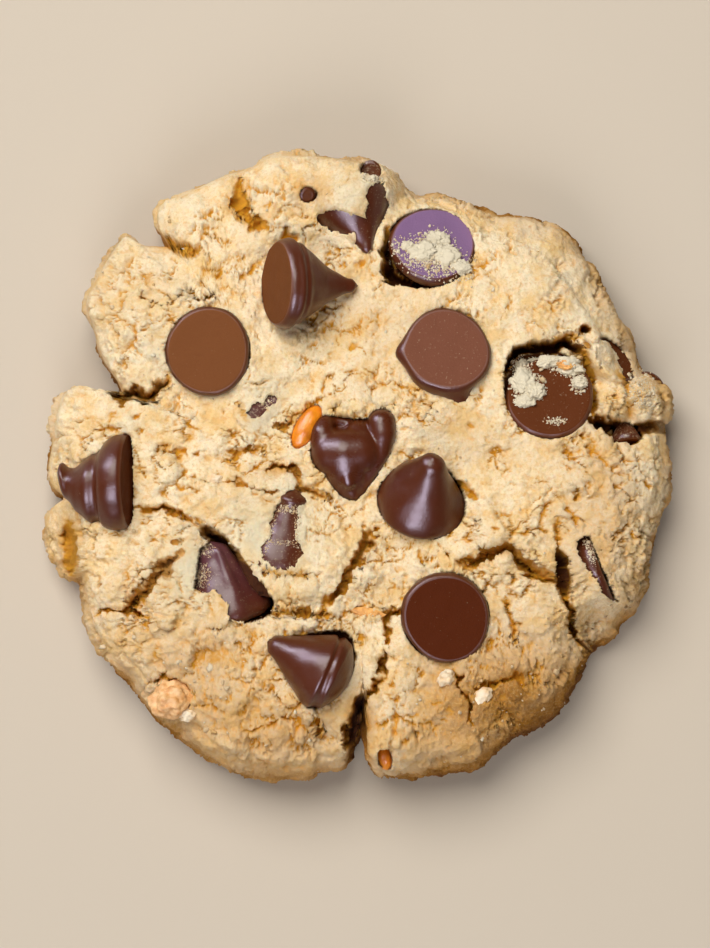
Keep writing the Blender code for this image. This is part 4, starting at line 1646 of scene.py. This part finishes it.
MOUNDS = [
    Mound(-36.5, -0.5, 3.0, 7.5, 0, -2.4),
    Mound(-36.0, -9.5, 3.0, 4.5, 0, -4.6),
    Mound(10.6, 32.6, 6.6, 2.2, -8, -4.6),
    Mound(31.4, 8.8, 4.4, 6.6, 10, -2.6, 2.0),
    Mound(28.8, 12.5, 1.5, 2.7, 12, 3.0, 3.0),
    Mound(30.1, 7.4, 1.9, 2.8, 0, 2.6, 3.0),
    Mound(33.6, 8.2, 1.7, 3.2, 0, 2.2, 3.0),
    Mound(27.4, 15.0, 0.9, 0.9, 0, 1.6, 2.0),
    Mound(-6.5, 20.6, 6.5, 6.0, 0, -1.5, 2.0),
    Mound(28.6, -18.6, 3.4, 2.0, 20, -4.2),
    Mound(-9.0, 33.0, 6.0, 4.0, 0, 0.9),
    Mound(-20.0, 29.0, 4.0, 3.4, 20, 0.9),
    Mound(-27.0, 15.0, 4.2, 4.6, 0, 0.7),
    Mound(-29.2, -13.6, 3.2, 3.4, 0, 1.2),
    Mound(-22.0, -16.0, 4.2, 2.6, 30, 0.8),
    Mound(-7.0, -15.4, 4.0, 1.8, 0, 0.8),
    Mound(-4.5, -9.5, 4.0, 4.0, 0, 0.8),
    Mound(18.5, -7.0, 5.5, 4.0, -15, 0.8),
    Mound(21.0, 22.5, 6.0, 5.0, 0, 0.6),
    Mound(28.4, -9.0, 3.6, 6.0, 15, 0.7),
    Mound(6.0, -31.0, 5.0, 4.0, 0, 0.6),
    Mound(-1.6, 32.0, 2.6, 2.4, 0, 2.2),
]

CRACKS = [
    Crack(((-22.7, 26.5), (-21.5, 25.6), (-20.0, 25.0), (-18.3, 25.3)), 0.7, 1.5, -0.6),
    Crack(
        ((-29.0, 8.8), (-28.0, 7.8), (-26.0, 8.3), (-24.5, 8.0), (-23.0, 9.3), (-22.0, 10.0)), 0.8, 3.0,
        0.5,
    ),
    Crack(((-22.7, 18.3), (-21.0, 19.7), (-20.0, 20.2), (-18.3, 19.2), (-16.5, 20.0)), 0.35, 1.2, 0.4),
    Crack(((-25.8, 20.2), (-24.6, 18.9), (-23.0, 18.4)), 0.35, 1.0, 0.4),
    Crack(
        ((-14.5, 34.3), (-14.2, 33.0), (-13.8, 31.0), (-13.0, 29.0), (-12.0, 28.3), (-10.2, 27.9)), 0.7,
        1.1,
    ),
    Crack(((-8.5, 27.6), (-7.6, 26.2)), 0.7, 1.5),
    Crack(((-24.4, 1.3), (-22.3, 1.5), (-20.0, 1.2)), 0.55, 0.9),
    Crack(((-15.5, 1.2), (-13.2, 1.6), (-10.8, 1.5)), 0.55, 0.9),
    Crack(((-20.2, -1.7), (-17.3, -2.5)), 0.3, 0.7),
    Crack(((-15.7, -1.7), (-13.0, -2.5), (-11.0, -3.4), (-9.3, -3.3)), 0.35, 1.0, 0.4),
    Crack(
        ((-11.2, -1.0), (-9.0, -0.5), (-7.5, -0.4), (-6.8, -2.5), (-5.5, -3.5), (-3.3, -4.0)), 0.55, 2.0,
        0.3,
    ),
    Crack(
        ((-26.8, -4.7), (-25.0, -5.5), (-23.5, -5.2), (-21.5, -5.5), (-20.0, -6.5), (-18.2, -7.1)),
        0.4, 1.6, 0.5,
    ),
    Crack(((-19.8, -8.5), (-21.9, -9.8)), 0.25, 0.8),
    Crack(
        ((-18.4, -7.4), (-16.5, -8.7), (-14.0, -11.5), (-12.0, -14.0), (-9.8, -17.0)), 0.75, 6.0, 0.6, 2.0,
        0.15, 0.25,
    ),
    Crack(((-20.6, -10.4), (-23.0, -12.3), (-24.5, -14.0), (-26.0, -16.0), (-27.6, -17.5)), 0.95, 2.4, -0.5),
    Crack(((-30.8, -17.7), (-28.0, -17.2), (-26.3, -17.6), (-24.8, -17.6)), 0.35, 1.4, -0.6),
    Crack(((-34.2, -6.6), (-34.0, -9.5), (-34.0, -13.0)), 0.9, 2.4, 0.0, 2.0),
    Crack(((-25.0, -18.3), (-23.5, -18.8), (-20.8, -19.3)), 0.3, 0.8, 0.4),
    Crack(((-18.2, -19.5), (-16.5, -19.3), (-15.0, -18.8), (-13.8, -17.3)), 0.3, 0.9, 0.4),
    Crack(((-12.9, -11.4), (-10.0, -12.8), (-8.0, -12.7), (-6.0, -13.2), (-4.2, -13.2)), 0.5, 1.6, -0.4),
    Crack(((-10.6, -17.6), (-8.0, -17.2), (-5.0, -17.6), (-2.6, -17.2)), 0.35, 1.1, 0.3),
    Crack(
        ((2.4, -7.6), (1.3, -8.7), (0.5, -10.0), (-0.5, -12.0), (-1.5, -14.0), (-2.8, -15.5), (-4.9, -17.6)),
        0.75, 2.4, 0.3,
    ),
    Crack(((5.2, -16.8), (3.8, -17.5), (3.2, -18.7), (3.6, -19.8), (3.0, -21.4)), 0.55, 2.4),
    Crack(((3.2, -21.9), (3.0, -23.6), (2.8, -25.2)), 0.4, 2.6, -0.5),
    Crack(((2.9, -25.0), (1.4, -26.6), (0.6, -28.4)), 0.5, 2.6),
    Crack(((0.6, -26.6), (0.2, -28.6), (-0.6, -31.0), (-1.2, -33.6)), 0.9, 6.0, 0.0, 2.0, 0.3, 0.4),
    Crack(((-5.2, -29.8), (-4.4, -31.8)), 0.3, 1.2),
    Crack(
        ((11.0, -23.8), (11.5, -25.0), (12.3, -26.5), (13.0, -27.7), (13.2, -29.0), (13.0, -30.8)), 0.4,
        2.0,
    ),
    Crack(
        ((13.3, -27.1), (14.5, -26.0), (16.0, -25.8), (17.5, -25.3), (18.8, -24.8), (20.1, -27.4)), 0.35,
        1.2,
    ),
    Crack(((17.5, -15.5), (17.3, -16.7), (18.0, -18.5), (18.4, -20.8)), 0.4, 1.4),
    Crack(
        (
            (11.4, -11.4), (13.5, -11.5), (15.0, -10.6), (17.4, -10.1), (19.3, -11.5), (21.0, -12.8),
            (23.6, -13.2),
        ),
        0.9, 2.6, 0.7, 3.0, 0.25,
    ),
    Crack(((19.0, -12.9), (21.6, -13.5), (23.6, -13.9)), 0.4, 2.4, 0.0, 2.5, 0.25, 0.5),
    Crack(((23.3, -9.8), (23.9, -12.0), (24.1, -13.6), (24.2, -15.6)), 0.75, 5.5, 0.0, 2.5, 0.2, 0.3),
    Crack(((24.0, -14.8), (25.0, -17.0), (25.2, -19.4), (26.6, -21.4)), 0.45, 2.6, -0.6, 2.5, 0.3),
    Crack(((23.6, -6.6), (23.2, -8.5), (23.7, -10.2)), 0.35, 1.4, -0.3),
    Crack(((25.2, -2.5), (25.9, -4.5)), 0.5, 0.9),
    Crack(((33.4, -1.8), (34.9, -2.4)), 0.3, 0.8),
    Crack(((31.9, -8.0), (33.1, -8.8)), 0.3, 0.8),
    Crack(((7.2, -10.2), (7.7, -12.2)), 0.25, 0.8),
    Crack(((9.8, -9.6), (10.6, -11.2)), 0.25, 0.8),
    Crack(((11.8, -5.9), (14.0, -6.9)), 0.3, 0.8),
    Crack(((11.6, -2.0), (13.7, -4.3)), 0.4, 1.2),
    Crack(((7.7, 4.6), (8.4, 6.0), (9.1, 7.4)), 0.3, 1.2),
    Crack(((-14.1, 7.1), (-13.5, 6.0), (-12.7, 4.9)), 0.25, 0.8),
    Crack(((-9.8, 4.2), (-8.0, 4.9), (-6.0, 6.6), (-3.9, 7.9)), 0.35, 1.0),
    Crack(((-3.6, 6.1), (-1.5, 6.6), (0.1, 6.1)), 0.3, 0.8),
    Crack(((1.4, 6.9), (3.0, 6.9), (4.7, 6.5)), 0.35, 0.8),
    Crack(
        (
            (17.0, 9.2), (17.6, 11.5), (18.6, 13.2), (20.5, 13.8), (22.5, 13.6), (24.0, 14.3), (25.5, 13.9),
            (26.6, 12.8),
        ),
        0.6, 6.0, -0.2, 2.5, 0.25, 0.2,
    ),
    Crack(((26.4, 13.8), (26.8, 11.8), (27.3, 9.5), (27.6, 7.5), (27.4, 5.6)), 0.6, 2.4, 0.0, 2.0, 0.3),
    Crack(((23.0, 14.9), (24.2, 14.7), (25.6, 15.1)), 0.6, 1.8),
    Crack(((26.2, 15.8), (26.8, 16.0), (27.3, 15.6)), 0.5, 3.6, 0.0, 2.0, 0.1, 0.2),
    Crack(
        ((26.9, 5.2), (28.6, 4.8), (30.4, 4.2), (31.9, 3.0), (33.4, 4.2), (35.9, 4.9)), 1.0, 6.0, 0.0, 2.5,
        0.3, 0.35,
    ),
    Crack(((3.6, 28.2), (3.5, 24.6), (3.9, 22.3), (7.0, 21.3), (11.0, 22.1)), 0.75, 6.0, 0.0, 2.0, 0.2, 0.25),
    Crack(((-24.5, -25.5), (-22.0, -25.1), (-19.6, -27.5)), 0.35, 1.2),
]

PATCHES = [
    Patch(18.0, 20.0, 12.0, 9.0, 20, flake=0.3, knob=0.35, crumb=0.35),
    Patch(3.0, 18.0, 7.0, 9.0, 0, flake=0.5, knob=0.45, crumb=0.5, tan=0.14),
    Patch(14.0, 3.0, 7.0, 6.0, 0, flake=0.4, knob=0.4, crumb=0.5, tan=0.12),
    Patch(-18.0, 0.0, 9.0, 6.0, 0, flake=1.2, knob=0.6, crumb=1.0),
    Patch(-18.0, -26.0, 12.0, 8.0, -40, flake=0.8, knob=2.1, crumb=1.5, tan=0.5),
    Patch(-8.0, -32.0, 9.0, 5.0, 0, flake=0.7, knob=2.1, crumb=1.6, tan=0.62),
    Patch(16.0, -28.0, 12.0, 8.0, 30, flake=0.7, knob=1.5, crumb=2.1, tan=0.92),
    Patch(28.0, -6.0, 6.0, 12.0, 0, flake=0.8, knob=0.8, crumb=1.3, tan=0.35),
    Patch(-26.0, 18.0, 6.0, 9.0, 0, flake=0.9, knob=1.4, crumb=1.0, dust=0.25),
    Patch(-19.4, -12.2, 3.4, 4.2, -40, flake=0.3, knob=0.5, dust=0.85),
    Patch(-12.0, -8.5, 2.2, 4.5, 20, flake=0.3, knob=0.5, dust=0.75),
    Patch(-8.0, -8.0, 3.4, 5.5, 0, flake=0.4, knob=0.5, dust=0.8),
    Patch(-10.8, 7.0, 2.4, 4.0, -20, flake=0.3, knob=0.5, dust=0.7),
    Patch(0.0, 31.5, 3.6, 3.0, 0, flake=0.4, knob=0.6, dust=0.4),
    # The orange laid into recesses below is cracked crust with painted recess shade.
    Patch(-34.2, -9.0, 1.6, 3.6, 0, flake=0.6, knob=1.0, split=0.8),
    # Painted shade: the notch's tan gives it the dark brown of the foot, where it lies in shadow.
    Patch(0.2, -31.5, 1.7, 4.6, 0, flake=0.6, knob=1.0, tan=1.4),
    Patch(-6.6, 32.0, 1.1, 1.6, 0, split=0.7),
    Patch(-4.6, 32.6, 1.0, 1.6, 20, split=0.6),
    Patch(-14.0, 32.0, 0.9, 2.2, 0, split=0.6),
    Patch(-12.0, 28.4, 1.6, 0.9, 0, split=0.6),
    Patch(-4.5, 18.0, 4.5, 2.4, 0, flake=0.4, knob=0.4, crumb=0.7, split=0.12),
    Patch(-11.0, -2.5, 3.4, 1.3, -10, flake=0.7, knob=0.3, crumb=0.5),
    Patch(28.6, 17.6, 2.6, 2.0, 0, flake=0.4, knob=0.3, crumb=0.7),
    Patch(16.0, 1.5, 1.2, 1.6, 0, flake=0.6, knob=0.5, split=0.18),
    Patch(-23.8, 21.5, 2.0, 1.2, -20, split=0.3),
    Patch(-9.4, -0.7, 2.0, 0.8, 10, split=0.8),
    Patch(-22.4, 26.0, 2.6, 1.2, -20, split=0.6),
]

CHIPS = [
    Chip("chip_flat_left", -17.6, 13.1, 14.49, 45, -86, drop=Drop.DOME),
    Chip(
        "chip_flat_right", 10.4, 13.3, 14.79, -110, -79, dusting=0.1, bloom=0.07,
        nubs=(Nub(-72, 0.34, 2.6, 15, 0.16), Nub(184, 0.1, 0.9, 14, 0.1), Nub(-110, 0.22, 0.6, 40)),
    ),
    # Its lilac face is a painted reflection of the light, laid with its fat bloom.
    Chip(
        "chip_flat_back", 8.9, 26.0, 12.3, -112, -64, 5.1, 8.6, gap_more=0.9, gap_heading=215, matte=0.9,
        sheen=0.8, bloom=0.85,
    ),
    Chip(
        "chip_flat_far_right", 22.5, 7.9, 12.9, -100, -77, 5.1, 8.2, gap_more=1.3, gap_heading=118, matte=0.3,
        sheen=0.95, dusting=0.08,
    ),
    Chip("chip_flat_front", 10.3, -18.1, 14.37, 115, -80, 5.25, matte=0.0, sheen=1.0, drop=Drop.DOME),
    Chip(
        "chip_lying_back", -9.5, 20.8, 16.73, 0, -24, 5.0, 9.9, 0.12, matte=0.85, sheen=0.8,
        folds=(
            Fold(0.14, 0.2, 0.04, 0.02), Fold(0.21, -0.12, 0.02), Fold(0.27, 0.16, 0.035, -0.02),
            Fold(0.94, 0.42, 0.045),
        ),
    ),
    Chip(
        "chip_lying_left", -26.8, -1.9, 12.94, 180, -8, 5.5, 8.4, 0.12, drop=Drop.STUB, matte=0.1, belly=0.3,
        sway=((0.0, 0.0), (0.3, -0.5), (0.55, -1.0), (0.74, -1.0), (0.87, -0.3), (0.95, 0.5), (1.0, 0.9)),
        folds=(Fold(0.9, 0.25, 0.05),),
    ),
    Chip(
        "chip_lying_front", -3.1, -24.6, 13.01, 153, 4, 4.8, 8.4, gap_more=0.5, gap_heading=80, matte=0.0,
        sheen=0.08, belly=2.3, drop=Drop.CONE, folds=(Fold(0.08, -0.42, 0.035, 0.04, 1.57),), along=96,
    ),
    Chip(
        "chip_standing", 7.1, -5.1, 11.4, 73, 52, 5.2, 9.4, drop=Drop.CONE, gap_more=0.35, gap_heading=20,
        nubs=(Nub(180, 0.4, 0.45, 45, 0.25),),
    ),
    # Its lilac side towards the tip is a painted reflection of the light.
    Chip(
        "chip_sunk_left", -15.1, -17.9, 8.96, 103.5, 14, 4.9, 9.4, gap_more=0.9, gap_heading=40, matte=0.2,
        sheen=0.2, side_dust=0.12, side_bloom=0.16, drop=Drop.BLUNT, nubs=(Nub(82, 0.55, 0.5, 14, 0.5),),
        bare=(Oval(-14.3, -13.5, 6.6, 2.5, -49), Oval(-17.9, -12.9, 1.8, 2.2), Oval(-12.6, -17.0, 2.4, 1.7)),
    ),
    Chip(
        "chip_sunk_middle", -8.9, -11.8, 10.03, 80, 22, 4.6, 9.6, matte=0.3, side_dust=0.16, drop=Drop.CONE,
        folds=(Fold(0.92, 0.6, 0.07),),
        bare=(Oval(-7.3, -3.6, 1.3, 1.3), Oval(-8.6, -7.4, 1.5, 3.4, -12), Oval(-8.9, -10.3, 2.2, 1.9)),
    ),
    Chip(
        "chip_sunk_back", -0.9, 31.2, 10.84, -72, 20, 4.7, 7.4, matte=0.4, side_dust=0.12,
        bare=(Oval(2.3, 29.4, 1.3, 3.6), Oval(-1.4, 28.2, 3.6, 1.0, -10), Oval(1.4, 26.4, 1.7, 1.6)),
    ),
    Chip(
        "chip_sunk_right", 28.7, -12.0, 8.63, 201, -6, 4.6, 7.0, matte=0.3, sheen=0.3, side_dust=0.15,
        bare=(Oval(27.3, -10.6, 2.9, 1.35, -68), Oval(29.1, -14.0, 2.4, 0.75, -63)),
    ),
    Chip(
        "chip_edge_back", 30.2, 12.5, 9.95, 217, -35, 3.2, 3.2, matte=0.3, dusting=0.1,
        bare=(
            Oval(28.9, 15.3, 1.3, 0.55, -30), Oval(30.5, 14.3, 1.3, 0.55, -50),
            Oval(31.4, 12.6, 1.5, 0.5, -68), Oval(31.8, 10.9, 1.2, 0.5, -82),
        ),
    ),
    Chip(
        "chip_edge_pocket", 31.7, 2.6, 8.82, 95, -12, 1.8, 4.0, matte=0.3, side_dust=0.3,
        bare=(Oval(31.5, 3.7, 1.9, 1.4),),
    ),
    Chip(
        "chip_edge_right", 34.6, 8.5, 6.53, 184, -64, 2.8, 4.0, matte=0.3, dusting=0.2,
        bare=(Oval(36.4, 8.6, 0.5, 2.2, 12), Oval(36.7, 5.4, 0.5, 1.0)),
    ),
    # Its lilac side towards the tip is a painted reflection of the light.
    Chip(
        "chip_veiled", -13.0, 4.6, 10.52, 38, 14, 3.4, 7.0, side_dust=0.3, side_bloom=0.12,
        bare=(Oval(-11.8, 6.2, 1.15, 0.8, 40), Oval(-10.3, 7.3, 0.8, 0.45, 40)),
    ),
    Chip(
        "chip_bit_back", 1.5, 34.6, 10.9, 80, -75, 1.35, 2.2, matte=0.2, sheen=0.2, dusting=0.25,
        side_dust=0.2,
    ),
    Chip(
        "chip_bit_left", -5.9, 31.6, 12.58, 140, -60, 1.0, 2.0, matte=0.2, sheen=0.3, side_dust=0.2,
        gap_more=0.3,
    ),
]

PEANUT = Nugget("peanut_piece", -21.9, -27.5, 10.98, (2.5, 2.1, 1.9), 20, 0.28)
SCOTCH = [
    Nugget("butterscotch_middle", -6.0, 4.3, 13.0, (2.9, 1.3, 1.5), 60, 0.06),
    Nugget("butterscotch_front", 3.1, -34.3, 8.9, (0.9, 1.6, 1.4), 15, 0.06),
]

SPRINKLES = [
    Sprinkle(8.7, 24.1, 4.9, 2.4, -15, 1500, 0.1, 0.15),
    Sprinkle(9.2, 25.9, 2.2, 2.0, 0, 500, 0.1, 0.1),
    Sprinkle(24.0, 11.6, 2.8, 1.2, -10, 500, 0.11, 0.1),
    Sprinkle(19.3, 11.6, 1.2, 1.3, 0, 300, 0.1, 0.0),
    Sprinkle(19.9, 8.9, 2.0, 2.0, 0, 500, 0.11, 0.05),
    Sprinkle(25.8, 9.2, 1.0, 1.0, 0, 150, 0.1, 0.1),
    Sprinkle(23.0, 5.0, 1.3, 0.5, 0, 160, 0.07, 0.0),
    Sprinkle(-17.9, -9.9, 1.2, 1.0, -40, 260, 0.055, 0.35),
    Sprinkle(-18.3, -13.2, 1.2, 1.6, 0, 380, 0.055, 0.35),
    Sprinkle(-8.2, -5.3, 1.5, 0.6, 0, 180, 0.06, 0.35),
    Sprinkle(-7.1, -8.0, 0.4, 3.0, 0, 160, 0.06, 0.35),
    Sprinkle(-10.3, -8.4, 0.4, 3.0, -15, 160, 0.06, 0.35),
    Sprinkle(-8.9, -9.3, 2.0, 0.4, 0, 120, 0.05, 0.35),
    Sprinkle(1.6, 33.5, 1.1, 0.6, 0, 500, 0.11, 0.05, 0.3),
    Sprinkle(33.6, 8.6, 1.8, 3.0, 0, 500, 0.09, 0.2),
    Sprinkle(27.2, -10.3, 0.6, 1.8, 20, 160, 0.08, 0.0),
    Sprinkle(-10.4, 7.3, 1.4, 0.8, 40, 90, 0.06, 0.2),
]

LITTER = [
    Sprinkle(0.0, 0.0, 40.0, 40.0, 0, 260, 0.13, 0.3),
    Sprinkle(-14.0, -26.0, 16.0, 9.0, -20, 60, 0.2, 0.45),
    Sprinkle(17.0, -25.0, 14.0, 10.0, 20, 60, 0.18, 0.5),
    Sprinkle(-24.0, 17.0, 8.0, 12.0, 0, 30, 0.18, 0.3),
]

NUT_BITS = [
    Bit(-16.7, -1.8, 0.8, 0.6, 0.5), Bit(10.3, -25.0, 1.1, 0.9, 0.9, 30), Bit(14.5, -27.1, 1.3, 0.8, 0.6, 40),
    Bit(-20.0, -29.3, 1.0, 0.8, 0.8),
]

LUMPS = [
    Bit(7.3, 24.6, 1.9, 1.3, 0.5, 10), Bit(10.0, 24.3, 2.0, 1.5, 0.6, -20), Bit(9.2, 26.3, 1.3, 1.1, 0.4),
    Bit(12.0, 23.0, 1.2, 0.9, 0.4), Bit(5.8, 25.4, 0.9, 0.7, 0.4),
    Bit(22.4, 12.0, 1.4, 0.8, 0.9, 10), Bit(24.7, 11.6, 1.7, 1.0, 1.0, -15), Bit(26.0, 9.5, 0.9, 0.8, 0.8),
    Bit(19.3, 9.6, 1.3, 1.5, 0.9, 20), Bit(20.7, 8.4, 1.3, 1.1, 0.9, 30), Bit(19.5, 7.3, 1.2, 0.8, 0.6),
    Bit(19.1, 11.7, 0.9, 1.0, 0.6), Bit(20.6, 12.4, 1.0, 0.5, 0.6),
]

FLAKES = [Bit(1.1, -17.4, 1.8, 0.5, 0.4, -8), Bit(24.3, 11.6, 1.1, 0.6, 1.25, -10)]


def main() -> None:
    """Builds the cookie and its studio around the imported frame."""
    logging.basicConfig(level=logging.INFO, format="%(message)s")
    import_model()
    grain = Grain(20)
    plan = Plan(OUTLINE, INSETS)
    low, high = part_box("dough")
    shift = np.array(((low.x + high.x) / 2 / MM, (low.y + high.y) / 2 / MM - SETTLE, 0.0))
    swirl = Swirl()
    dough = Dough(grain, plan, MOUNDS, CRACKS, PATCHES)
    crust = dough.build([*CHIPS, swirl, PEANUT, *SCOTCH], shift)
    dress(crust, [BakedDough().material()], "baked_dough", "dough")

    chocolate = [MELTED.material(), BELT_FACE.material()]
    landing = [crust]
    for chip in CHIPS:
        landing.append(dress(chip.build(shift, grain), chocolate, "chocolate", chip.node))
    landing.append(dress(swirl.build(shift), chocolate[:1], "chocolate", swirl.node))
    dress(PEANUT.build(shift, grain), [ROAST_PEANUT.material()], "roast_peanut", PEANUT.node)
    scotch = [BUTTERSCOTCH.material()]
    for nugget in SCOTCH:
        dress(nugget.build(shift, grain), scotch, "butterscotch", nugget.node)

    bpy.context.view_layer.update()
    graph = bpy.context.evaluated_depsgraph_get()
    trees = [BVHTree.FromObject(piece, graph) for piece in landing]
    crumb = [DryCrumb().material()]
    dress(Crumbs("chip_crumbs", SPRINKLES, 5).build(trees, shift), crumb, "baked_dough")
    dress(Crumbs("loose_crumbs", LITTER, 6, spared=True).build(trees, shift), crumb, "baked_dough")
    dress(Bits("chip_lumps", LUMPS, 0.75).build(trees, shift, grain), crumb, "baked_dough")
    dress(Bits("nut_bits", NUT_BITS, 0.35).build(trees, shift, grain), [NUT_BIT.material()], "roast_peanut")
    dress(Bits("toasted_flakes", FLAKES).build(trees, shift, grain), [FLAKE.material()], "roast_peanut")

    Studio().build()


if __name__ == "__main__":
    main()
